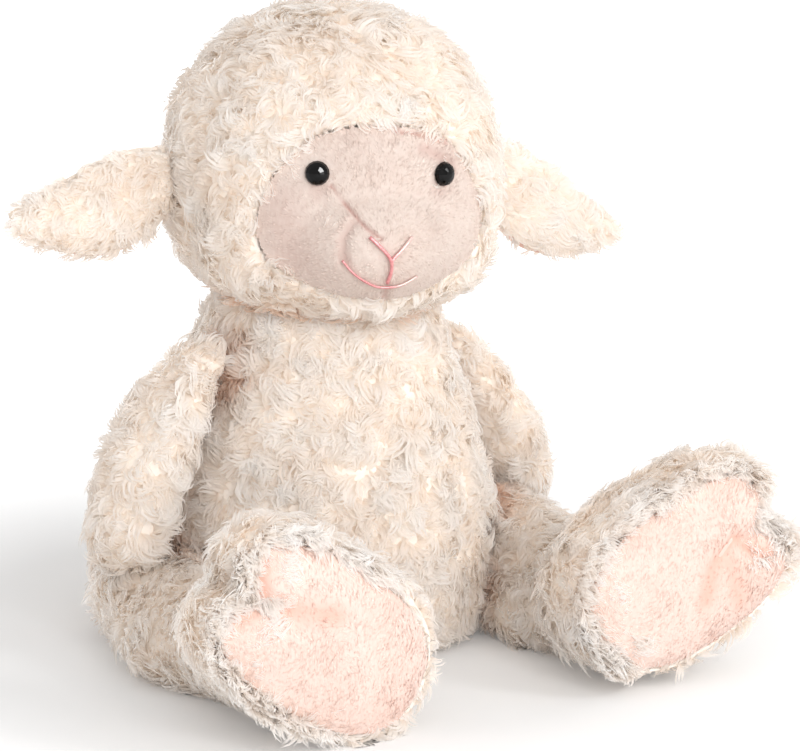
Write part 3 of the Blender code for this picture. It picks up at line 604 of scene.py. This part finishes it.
def pile_tree():
    """Plants tufts on a form, in clumps: as close as its pile attribute says, combed by its comb attribute."""
    tree = bpy.data.node_groups.new("Plant pile", "GeometryNodeTree")
    kinds = {
        "Geometry": "NodeSocketGeometry",
        "Spacing": "NodeSocketFloat",
        "Clump width": "NodeSocketFloat",
        "Length": "NodeSocketFloat",
        "Turn of clumps": "NodeSocketFloat",
        "Comb": "NodeSocketFloat",
        "Floor": "NodeSocketFloat",
        "Seed": "NodeSocketInt",
        "Tufts": "NodeSocketCollection",
        "Material": "NodeSocketMaterial",
    }
    for name, kind in kinds.items():
        tree.interface.new_socket(name, in_out="INPUT", socket_type=kind)
    tree.interface.new_socket("Geometry", in_out="OUTPUT", socket_type="NodeSocketGeometry")
    given = add(tree, "NodeGroupInput").outputs

    def draw(kind, low, high):
        """A random value for each tuft. Its sockets depend on the kind."""
        first, output = {"FLOAT_VECTOR": (0, 0), "FLOAT": (2, 1), "INT": (4, 2)}[kind]
        inputs = {first: low, first + 1: high, "Seed": given["Seed"]}
        return add(tree, "FunctionNodeRandomValue", inputs, data_type=kind).outputs[output]

    # Where tufts stand
    planted = add(
        tree,
        "GeometryNodeDistributePointsOnFaces",
        {
            "Mesh": given["Geometry"],
            "Distance Min": given["Spacing"],
            "Density Max": DENSITY_LIMIT,
            "Density Factor": carried_by_form(tree, "pile", "FLOAT"),
            "Seed": given["Seed"],
        },
        distribute_method="POISSON",
        use_legacy_normal=False,
    ).outputs

    # Which way each leans: round the middle of its clump, with its clump, a little astray, and as combed
    place = add(tree, "GeometryNodeInputPosition").outputs["Position"]
    clumps_per_metre = number_math(tree, "DIVIDE", 1.0, given["Clump width"])
    clump = add(tree, "ShaderNodeTexVoronoi", {"Vector": place, "Scale": clumps_per_metre}).outputs
    waves = {"Vector": place, "Scale": WANDERS_PER_METRE, "Detail": 0.5}
    wander = add(tree, "ShaderNodeTexNoise", waves).outputs["Color"]
    half = (0.5,) * 3
    offset = vector_math(tree, "SUBTRACT", place, clump["Position"])
    around = vector_math(tree, "CROSS_PRODUCT", planted["Normal"], offset)
    around = vector_math(tree, "NORMALIZE", around)
    turned = vector_math(tree, "SCALE", around, Scale=given["Turn of clumps"])
    own = vector_math(tree, "SUBTRACT", clump["Color"], half)
    own = vector_math(tree, "MULTIPLY_ADD", own, (CLUMP_PULL,) * 3, turned)
    loose = vector_math(tree, "SUBTRACT", wander, half)
    own = vector_math(tree, "MULTIPLY_ADD", loose, (WANDER_PULL,) * 3, own)
    comb = carried_by_form(tree, "comb", "FLOAT_VECTOR")
    combed = vector_math(tree, "SCALE", comb, Scale=given["Comb"])
    lay = vector_math(tree, "ADD", own, combed)

    # How each stands: upright on the form, turned to its lean, and jolted a little
    upright = add(tree, "FunctionNodeAlignRotationToVector", {"Vector": planted["Normal"]}, axis="Z")
    towards = {"Rotation": upright.outputs[0], "Vector": lay}
    laid = add(tree, "FunctionNodeAlignRotationToVector", towards, axis="X", pivot_axis="Z")
    jolt = add(tree, "FunctionNodeEulerToRotation", {"Euler": draw("FLOAT_VECTOR", -JOLT, JOLT)}).outputs[0]
    turns = {"Rotation": laid.outputs[0], "Rotate By": jolt}
    stand = add(tree, "FunctionNodeRotateRotation", turns, rotation_space="LOCAL").outputs[0]

    # How long each is: longest in the middle of its clump
    near, far = CLUMP_EDGE
    long, short = CLUMP_LENGTHS
    fall = {"Value": clump["Distance"], 1: near, 2: far, 3: long, 4: short}
    middling = add(tree, "ShaderNodeMapRange", fall).outputs[0]
    size = number_math(tree, "MULTIPLY", middling, draw("FLOAT", *LENGTH_SHARES))
    size = number_math(tree, "MULTIPLY", size, given["Length"])

    # Its tone, half its clump's and half its own
    tint = add(tree, "ShaderNodeSeparateXYZ", {0: clump["Color"]}).outputs[0]
    tone = mix_numbers(tree, 0.5, tint, draw("FLOAT", 0.0, 1.0))
    toned = {"Geometry": planted["Points"], "Name": "tone", "Value": tone}
    marked = add(tree, "GeometryNodeStoreNamedAttribute", toned, data_type="FLOAT", domain="POINT").outputs[0]

    # The tufts themselves, kept off the floor
    variants = {"Collection": given["Tufts"], "Separate Children": True, "Reset Children": True}
    shapes = add(tree, "GeometryNodeCollectionInfo", variants).outputs[0]
    grown = add(
        tree,
        "GeometryNodeInstanceOnPoints",
        {
            "Points": marked,
            "Instance": shapes,
            "Pick Instance": True,
            "Instance Index": draw("INT", 0, LOCK_VARIANTS - 1),
            "Rotation": stand,
            "Scale": size,
        },
    ).outputs[0]
    real = add(tree, "GeometryNodeRealizeInstances", {"Geometry": grown}).outputs[0]
    where = add(tree, "ShaderNodeSeparateXYZ", {0: place}).outputs
    lifted = number_math(tree, "MAXIMUM", where["Z"], given["Floor"])
    above = add(tree, "ShaderNodeCombineXYZ", {"X": where["X"], "Y": where["Y"], "Z": lifted}).outputs[0]
    pressed = add(tree, "GeometryNodeSetPosition", {"Geometry": real, "Position": above}).outputs[0]
    coloured = {"Geometry": pressed, "Material": given["Material"]}
    done = add(tree, "GeometryNodeSetMaterial", coloured).outputs[0]
    add(tree, "NodeGroupOutput", {0: done})
    return tree


def plant(name, form, body, slot, collection, material, **inputs):
    """Grows pile on a form as a piece of its own."""
    obj = bpy.data.objects.new(name, form.data.copy())
    bpy.context.scene.collection.objects.link(obj)
    modifier = obj.modifiers.new("Pile", "NODES")
    modifier.node_group = PILE_TREE
    values = {
        "Spacing": LOCK_SPACING,
        "Clump width": CLUMP_WIDTH,
        "Length": 1.0,
        "Turn of clumps": 1.0,
        "Comb": 0.6,
        "Floor": FLOOR_CLEARANCE,
        "Seed": 1,
        "Tufts": collection,
        "Material": material,
    }
    values.update({key.replace("_", " ").capitalize(): value for key, value in inputs.items()})
    for item in PILE_TREE.interface.items_tree:
        if item.in_out == "INPUT" and item.name in values:
            modifier[item.identifier] = values[item.name]
    settle(obj)
    return dress(obj, body, None, slot)


def plant_parts(names, form, body, parts, **inputs):
    """Grows a form's curls as several pieces, by functions of place that say which part is whose."""
    for name, inside in parts.items():
        part = twin(form)
        chosen = np.array([inside(vertex.co) for vertex in form.data.vertices])
        note(part, "pile", pile_of(form) * chosen)
        plant(names.format(name), part, body, "curly_cloth", CURLS, PLUSH, **inputs)
        bpy.data.objects.remove(part)


def fill_gaps(name, form, body, where):
    """Long tufts that stand up, where a form comes close to another one and only fur closes the gap."""
    part = twin(form)
    mark(part, lambda place, normal: float(where(place, normal)), lambda place, normal: -UP)
    plant(name, part, body, "curly_cloth", FRINGES, PLUSH, seed=2, **GAP_TUFTS)
    bpy.data.objects.remove(part)


# Forms


def largest_shell(obj):
    """Keeps the outermost of a mesh's closed shells."""
    bm = bmesh.new()
    bm.from_mesh(obj.data)
    left = set(bm.verts)
    shells = []
    while left:
        stack = [left.pop()]
        shell = []
        while stack:
            vertex = stack.pop()
            shell.append(vertex)
            for edge in vertex.link_edges:
                other = edge.other_vert(vertex)
                if other in left:
                    left.remove(other)
                    stack.append(other)
        shells.append(shell)
    shells.sort(key=len)
    for shell in shells[:-1]:
        bmesh.ops.delete(bm, geom=shell, context="VERTS")
    bm.to_mesh(obj.data)
    bm.free()


def displace(obj, distance):
    """A modifier that moves a surface outward."""
    modifier = obj.modifiers.new("Outward", "DISPLACE")
    modifier.strength = distance
    modifier.mid_level = 0


def grow_form(name, nodes, proud=FORM_PROUD, voxel=FORM_VOXEL, smoothing=FORM_SMOOTHING, swell=0.0):
    """One closed rounded form round these nodes, this far proud of them. It swells first, to close seams."""
    obj = copy_of(name, nodes)
    displace(obj, swell)
    remesh = obj.modifiers.new("One skin", "REMESH")
    remesh.mode = "VOXEL"
    remesh.voxel_size = voxel
    settle(obj)
    largest_shell(obj)
    smooth = obj.modifiers.new("Round", "SMOOTH")
    smooth.factor = 0.5
    smooth.iterations = smoothing
    displace(obj, proud - swell)
    return settle(obj)


def finer(name, nodes, levels, fatten=0.0):
    """A rounded, finer copy of cloth panels or threads, a little thicker or thinner."""
    obj = copy_of(name, nodes)
    bm = bmesh.new()
    bm.from_mesh(obj.data)
    bmesh.ops.join_triangles(
        bm, faces=bm.faces, angle_face_threshold=PLANE_ANGLE, angle_shape_threshold=QUAD_ANGLE
    )
    layers = bm.edges.layers.float
    sharpness = layers.get("crease_edge") or layers.new("crease_edge")
    for edge in bm.edges:
        if edge.is_manifold and edge.calc_face_angle() > SHARP_ANGLE:
            edge[sharpness] = SHARP_CREASE
    bm.to_mesh(obj.data)
    bm.free()
    surface = obj.modifiers.new("Rounded", "SUBSURF")
    surface.levels = levels
    surface.render_levels = levels
    displace(obj, fatten)
    return settle(obj)


def fill_out(form, swells):
    """Pushes parts of a form out, as the filling does where cloth is loose."""
    for middle, push, reach in swells:
        for vertex in form.data.vertices:
            share = math.exp(-(((vertex.co - Vector(middle) * MM).length / (reach * MM)) ** 2))
            vertex.co += Vector(push) * MM * share
            vertex.co.z = max(vertex.co.z, FLOOR_CLEARANCE)


def tuck(form):
    """Sinks a form where another piece lies on it, and so leaves it little pile or none."""
    normals = [vertex.normal.copy() for vertex in form.data.vertices]
    for vertex, normal, pile in zip(form.data.vertices, normals, pile_of(form)):
        if pile < SPARSE_LIMIT:
            vertex.co -= normal * TUCK


def spread(form, where):
    """Lets the pile begin a little under the edge of what covers it, to close the seam."""
    pile = pile_of(form)
    pairs = [tuple(edge.vertices) for edge in form.data.edges]
    borders = [pair for pair in pairs if (pile[pair[0]] > 0) != (pile[pair[1]] > 0)]
    for vertex in {vertex for pair in borders for vertex in pair}:
        if where(form.data.vertices[vertex].co):
            pile[vertex] = 1.0
    note(form, "pile", pile)


def warm_up(form, near):
    """Marks where a form comes close to others, for the painted crevice shade on its pile and backing."""
    reaches = [near.find_nearest(vertex.co)[3] / CREVICE_SHADE_REACH for vertex in form.data.vertices]
    in_sight = pile_of(form) > SPARSE_LIMIT
    shares = [CREVICE_SHADE_SHARE * math.exp(-reach * reach) * shown for reach, shown in zip(reaches, in_sight)]
    note(form, "warm", shares)


def covered(tree, place, normal, reach):
    """True if something of the tree lies just over this place."""
    return tree.ray_cast(place - normal * TUCK, normal, TUCK + reach)[0] is not None


def at_pixel(tree, x, y):
    """The place on a surface that the camera sees at this pixel."""
    aside = CAMERA_RIGHT * (x - PICTURE_WIDTH / 2) + CAMERA_UP * (PICTURE_HEIGHT / 2 - y)
    way = CAMERA_AWAY * CAMERA_DISTANCE + aside * PICTURE_SCALE
    return tree.ray_cast(CAMERA_TARGET - CAMERA_AWAY * CAMERA_DISTANCE, way.normalized())[0]


def crease(form, creases):
    """Presses soft creases into the near face of a cloth, paints shade into them and thins the nap in them."""
    tree = BVHTree.FromObject(form, bpy.context.evaluated_depsgraph_get())
    places, normals = places_and_normals(form)
    facing = normals @ np.array(CAMERA_AWAY) < TURNED_AWAY
    sunk = np.zeros(len(places))
    dark = np.zeros(len(places))
    for pixels, width, depth, shade in creases:
        line = [np.array(at_pixel(tree, x, y)) for x, y in pixels]
        near = np.ones(len(places))
        for start, end in zip(line, line[1:]):
            run = end - start
            share = np.clip((places - start) @ run / (run @ run), 0, 1)
            near = np.minimum(near, np.linalg.norm(places - start - share[:, None] * run, axis=1))
        bell = np.exp(-((near / width) ** 2)) * facing
        sunk = np.maximum(sunk, depth * bell)
        # Painted shade in and round each crease
        dark = np.maximum(dark, shade * bell)
    pressed = places - normals * sunk[:, None]
    form.data.vertices.foreach_set("co", pressed.astype(np.float32).ravel())
    note(form, "crease", dark)
    note(form, "pile", pile_of(form) * (1 - dark))
    form.data.update()


PILE_TREE = pile_tree()
CURLS = locks("curl", CURL)
FRINGES = locks("fringe", FRINGE)
NAPS = locks("nap", NAP)
# The root colours carry the painted shade deep in the pile
PLUSH = plush_pile("polyester_plush_pile", 0.64, "#FDF6F0", "#FEFBF7", "#FFFDFB", "#FFFEFD")
LONG_PLUSH = plush_pile("long_white_pile", 0.6, "#FEFAF7", "#FFFCFA", "#FFFEFD", "#FFFFFF")
BACKING = pile_backing()
# The third colour of face and soles is the painted shade in their creases
FACE_CLOTH = short_pile("velboa_face", "#D4BFB4", "#E2D2C8", "#B6867B", (3.85, 1.11, 3.85), 35.7)
SOLE_CLOTH = short_pile("velboa_sole", "#ECCFC2", "#F4DCD1", "#E6AF9A", (2, 2, 5), 38.5)
LINING_CLOTH = short_pile("velboa_ear_lining", "#EDBFB2", "#F6D8CD", "#F8ECDF", (2, 3.33, 2), 33.3)
EYE = eye_plastic()
WASHER = plain_cloth("moulded_washer", "#BEBBB5", "#D2CFC8")
BAG = plain_cloth("woven_bag_cloth", "#C9C2B6", "#E2DCD0")
THREAD = thread_material()


def make_body():
    """The body with its curls, and the bag of pellets in its seat."""
    form = grow_form("body_form", ("body_cover", "body_filling"))
    fill_out(form, SWELLS["body"])
    legs = tree_of("leg_cover_left", "leg_cover_right")
    head = tree_of("head_cover", "head_filling")
    limbs = tree_of("arm_cover_left", "arm_cover_right", "leg_cover_left", "leg_cover_right")

    def pile(place, normal):
        if covered(legs, place, normal, 0) or covered(head, place, normal, 0):
            return SPARSE
        return REST_SHARE if normal.z < -SEAT_DOWNWARD and place.z < REST_DEPTH else 1.0

    def gap(place, normal):
        return pile(place, normal) > SPARSE and limbs.find_nearest(place)[3] < GAP_BAND

    mark(form, pile, lambda place, normal: -UP)
    warm_up(form, limbs)
    quarters = {
        "front_left": lambda place: place.x >= 0 and place.y < PILE_SPLIT,
        "front_right": lambda place: place.x < 0 and place.y < PILE_SPLIT,
        "back_left": lambda place: place.x >= 0 and place.y >= PILE_SPLIT,
        "back_right": lambda place: place.x < 0 and place.y >= PILE_SPLIT,
    }
    plant_parts("body_pile_{}", form, "torso", quarters)
    fill_gaps("torso_gap_tufts", form, "torso", gap)
    tuck(form)
    dress(form, "torso", BACKING, "curly_cloth", "body_cover", "body_filling")
    bag = finer("pellet_bag_cloth", ("pellet_bag",), 1)
    dress(bag, "torso", BAG, "bag_cloth", "pellet_bag")


def make_head():
    """The head with its curls, which leave the face free."""
    form = grow_form("head_form", ("head_cover", "head_filling"))
    face = tree_of(*FACE_NODES)
    body = tree_of("body_cover")
    middle = HEAD_FRAME @ HEAD_MIDDLE

    def pile(place, normal):
        under_face = covered(face, place, normal, FACE_OVER) or face.find_nearest(place)[3] < SEAM_OVER
        return 0.0 if under_face or covered(body, place, normal, CHIN_OVER) else 1.0

    def comb(place, normal):
        away = place - middle
        level = Vector((away.x, HEAD_COMB_FORWARD * away.y, 0)).normalized()
        return (level - HEAD_COMB_DOWN * UP) * HEAD_COMB_PULL

    mark(form, pile, comb)
    spread(form, lambda place: place.y < 0)
    warm_up(form, body)
    thirds = {
        "left": lambda place: place.x >= 0 and place.y < PILE_SPLIT,
        "right": lambda place: place.x < 0 and place.y < PILE_SPLIT,
        "back": lambda place: place.y >= PILE_SPLIT,
    }
    plant_parts("head_pile_{}", form, "head", thirds, seed=3)
    tuck(form)
    dress(form, "head", BACKING, "curly_cloth", "head_cover", "head_filling")


def make_face():
    """The short-pile face with its creases, the stitched nose and mouth, and the eyes."""
    form = grow_form("face_cloth", FACE_NODES, FACE_PROUD, FACE_VOXEL, FACE_SMOOTHING, SEAM_SWELL)
    nose = middle_of("nose_stitching")
    eyes = [middle_of(f"eye_{side}") for side in SIDES]
    middle = HEAD_FRAME @ HEAD_MIDDLE

    def pile(place, normal):
        outer = normal.dot((place - middle).normalized()) > FACE_OUTWARD
        return float(outer and min((place - eye).length for eye in eyes) > EYE_CLEARANCE)

    mark(form, pile, lambda place, normal: (place - nose).normalized())
    # Creases pressed in, with painted shade in them and on the cheek turned from the light
    crease(form, FACE_CREASES_AND_SHADE)
    plant("face_nap", form, "head", "face_cloth", NAPS, FACE_CLOTH, **FACE_NAP)
    dress(form, "head", FACE_CLOTH, "face_cloth", *FACE_NODES)
    for name, slimming in THREAD_SLIMMING.items():
        piece = finer(f"{name}_threads", (name,), 1, -slimming)
        # The threads grow paler toward the camera's right of the nose
        aside = [(vertex.co - nose).dot(CAMERA_RIGHT) / FADE_WIDTH for vertex in piece.data.vertices]
        note(piece, "faded", [min(FADE_LIMIT, max(0.0, share)) for share in aside])
        dress(piece, "head", THREAD, "pink_thread", name)
    for side in SIDES:
        for name, material in ((f"eye_{side}", EYE), (f"eye_washer_{side}", WASHER)):
            NODES[name].data.materials.clear()
            NODES[name].data.materials.append(material)


def make_arm(side, torso):
    """An arm with its curls."""
    nodes = (f"arm_cover_{side}", f"arm_filling_{side}")
    body = f"{side}_arm"
    form = grow_form(f"arm_form_{side}", nodes)
    fill_out(form, SWELLS[f"arm_{side}"])
    mark(
        form,
        lambda place, normal: SPARSE if covered(torso, place, normal, 0) else 1.0,
        lambda place, normal: -UP,
    )
    plant(f"arm_pile_{side}", form, body, "curly_cloth", CURLS, PLUSH, seed=5, comb=0.9)
    tuck(form)
    dress(form, body, BACKING, "curly_cloth", *nodes)


def make_leg(side, torso):
    """A leg with its curls, the fringes round its sole, and the sole with its nap and creases."""
    nodes = (f"leg_cover_{side}", f"leg_filling_{side}")
    body = f"{side}_leg"
    sole = tree_of(f"sole_{side}")
    middle = middle_of(f"sole_{side}")
    behind = middle_of(f"leg_cover_{side}")
    front = (middle - behind).normalized()
    form = grow_form(f"leg_form_{side}", nodes)
    fill_out(form, SWELLS[f"leg_{side}"])

    def clean(place):
        away = place - middle
        return away.dot(CLEAN_SIDE[side]) > CLEAN_SPAN * away.length

    def pile(place, normal):
        if covered(sole, place, normal, PANEL_OVER):
            return 0.0
        return SPARSE if covered(torso, place, normal, 0) else 1.0

    def gap(place, normal):
        return pile(place, normal) > SPARSE and torso.find_nearest(place)[3] < GAP_BAND

    def edge(place, normal):
        if clean(place) or covered(sole, place, normal, PANEL_OVER):
            return 0.0
        return float(sole.find_nearest(place)[3] < FRINGE_BAND)

    def rim(place, normal):
        return float(abs(normal.dot(front)) < SOLE_SIDEWAYS and not clean(place))

    def tread(place, normal):
        return float(normal.dot(front) > SOLE_FORWARD)

    mark(form, pile, lambda place, normal: -front if clean(place) else front)
    spread(form, clean)
    warm_up(form, torso)
    halves = {"foot": lambda place: place.y < behind.y, "thigh": lambda place: place.y >= behind.y}
    plant_parts(f"{{}}_pile_{side}", form, body, halves, seed=7, comb=1.2)
    fill_gaps(f"hip_tufts_{side}", form, body, gap)

    fringed = twin(form)
    mark(fringed, edge, lambda place, normal: front)
    plant(f"foot_fringe_{side}", fringed, body, "curly_cloth", FRINGES, LONG_PLUSH, seed=8, **FOOT_FRINGE)
    bpy.data.objects.remove(fringed)

    cloth = grow_form(f"sole_{side}_cloth", (f"sole_{side}",), SOLE_PROUD, SOLE_VOXEL, SOLE_SMOOTHING)
    mark(cloth, rim, lambda place, normal: front)
    plant(f"sole_rim_fringe_{side}", cloth, body, "curly_cloth", FRINGES, LONG_PLUSH, seed=9, **RIM_FRINGE)
    tuck(form)
    dress(form, body, BACKING, "curly_cloth", *nodes)
    mark(cloth, tread, lambda place, normal: UP)
    # Creases pressed into the sole, with painted shade in them
    crease(cloth, SOLE_CREASES[side])
    plant(f"sole_{side}_nap", cloth, body, "sole_cloth", NAPS, SOLE_CLOTH, **SOLE_NAP)
    dress(cloth, body, SOLE_CLOTH, "sole_cloth", f"sole_{side}")


def make_limbs():
    """The arms and legs."""
    torso = tree_of("body_cover")
    for side in SIDES:
        make_arm(side, torso)
        make_leg(side, torso)


def make_ears():
    """The ears: curls outside, short pile inside, and longer fur over the lining's upper rim."""
    for side, sign in SIDES.items():
        body = f"{side}_ear"
        lining = tree_of(f"ear_lining_{side}")
        form = grow_form(f"ear_form_{side}", (f"ear_pile_{side}",), EAR_PROUD, SMALL_VOXEL)
        out = Vector((sign, -0.1, -0.3))

        def pile(place, normal):
            return 0.0 if covered(lining, place, normal, PANEL_OVER) else 1.0

        mark(form, pile, lambda place, normal: out)
        plant(f"ear_fur_{side}", form, body, "curly_cloth", CURLS, PLUSH, seed=9, comb=1.0, length=0.85)
        dress(form, body, BACKING, "curly_cloth", f"ear_pile_{side}")
        cloth = finer(f"ear_lining_{side}_cloth", (f"ear_lining_{side}",), 2)
        mark(cloth, lambda place, normal: float(normal.z > EAR_UPWARD), lambda place, normal: out)
        note(cloth, "crease", [float(vertex.normal.z > 0) for vertex in cloth.data.vertices])
        plant(f"ear_rim_fur_{side}", cloth, body, "curly_cloth", CURLS, PLUSH, seed=10, **EAR_RIM_FUR)
        dress(cloth, body, LINING_CLOTH, "ear_cloth", f"ear_lining_{side}")


def make_tail():
    """The short tail with its curls."""
    form = grow_form("tail_form", ("tail",), TAIL_PROUD, SMALL_VOXEL)
    mark(form, lambda place, normal: 1.0, lambda place, normal: Vector((0, 1, -0.5)))
    plant("tail_fur", form, "tail", "curly_cloth", CURLS, PLUSH, seed=11)
    dress(form, "tail", BACKING, "curly_cloth", "tail")


# Setting


def seen(tree):
    """One for what the camera sees, also mirrored or through glass, and nothing for light on the sheep."""
    ray = add(tree, "ShaderNodeLightPath").outputs
    straight = number_math(tree, "MAXIMUM", ray["Is Camera Ray"], ray["Is Glossy Ray"])
    return number_math(tree, "MAXIMUM", straight, ray["Is Transmission Ray"])


def square(name, size, material, place=Matrix()):
    """A flat square of the set."""
    bm = bmesh.new()
    bmesh.ops.create_grid(bm, x_segments=1, y_segments=1, size=size)
    bm.transform(place)
    obj = object_of(name, bm)
    obj.data.materials.append(material)
    return obj


def make_floor():
    """A pale paper floor that reads white where it is lit and keeps the shadow."""
    material, tree = empty_material("backdrop_paper")
    place = own_place(tree)
    away = add(tree, "ShaderNodeVectorMath", {0: place}, operation="LENGTH").outputs["Value"]
    near, far = GLOW_DISTANCES
    weak, strong = GLOW_STRENGTHS
    level = add(tree, "ShaderNodeMapRange", {"Value": away, 1: near, 2: far, 3: weak, 4: strong}).outputs[0]
    glow = number_math(tree, "MULTIPLY", seen(tree), level)
    paper = add(tree, "ShaderNodeBsdfDiffuse", {"Color": linear("#F4F4F4")}).outputs[0]
    light = add(tree, "ShaderNodeEmission", {"Strength": glow}).outputs[0]
    both = add(tree, "ShaderNodeAddShader", {0: paper, 1: light}).outputs[0]
    add(tree, "ShaderNodeOutputMaterial", {"Surface": both})
    floor = square("floor", FLOOR_SIZE, material)


def make_world():
    """A white sky, dimmer as a light than as it is seen."""
    world = bpy.data.worlds.new("studio")
    bpy.context.scene.world = world
    world.use_nodes = True
    tree = world.node_tree
    tree.nodes.clear()
    dim, full = SKY_STRENGTHS
    strength = add(tree, "ShaderNodeMapRange", {"Value": seen(tree), 3: dim, 4: full}).outputs[0]
    sky = add(tree, "ShaderNodeBackground", {"Color": (1, 1, 1, 1), "Strength": strength}).outputs[0]
    add(tree, "ShaderNodeOutputWorld", {"Surface": sky})


def make_card():
    """A card that only polished surfaces see: the window in each eye."""
    material, tree = empty_material("lit_card")
    light = add(tree, "ShaderNodeEmission", {"Strength": CARD_STRENGTH}).outputs[0]
    add(tree, "ShaderNodeOutputMaterial", {"Surface": light})
    turn = (CARD_PLACE - CARD_AIM).to_track_quat("Z", "Y").to_matrix().to_4x4()
    card = square("card", CARD_SIZE, material, Matrix.Translation(CARD_PLACE) @ turn)
    for ray in ("camera", "diffuse", "transmission", "shadow"):
        setattr(card, f"visible_{ray}", False)


def lamp(name, place, size, watts):
    """A square lamp that faces the sheep."""
    light = bpy.data.lights.new(name, "AREA")
    light.size = size
    light.energy = watts
    obj = bpy.data.objects.new(name, light)
    bpy.context.scene.collection.objects.link(obj)
    obj.location = place
    obj.rotation_euler = (UP * MIDDLE_HEIGHT - Vector(place)).to_track_quat("-Z", "Y").to_euler()


def make_camera():
    """The camera of the photograph."""
    data = bpy.data.cameras.new("camera")
    data.sensor_width = SENSOR_WIDTH
    data.lens = SENSOR_WIDTH * CAMERA_DISTANCE / (PICTURE_WIDTH * PICTURE_SCALE)
    camera = bpy.data.objects.new("camera", data)
    bpy.context.scene.collection.objects.link(camera)
    turn = Matrix((CAMERA_RIGHT, CAMERA_UP, -CAMERA_AWAY)).transposed().to_4x4()
    camera.matrix_world = Matrix.Translation(CAMERA_TARGET - CAMERA_AWAY * CAMERA_DISTANCE) @ turn
    bpy.context.scene.camera = camera


make_body()
make_head()
make_face()
make_limbs()
make_ears()
make_tail()
make_floor()
make_world()
make_card()
for name, (place, size, watts) in LAMPS.items():
    lamp(name, place, size, watts)
make_camera()
bpy.context.scene.view_settings.view_transform = "Standard"
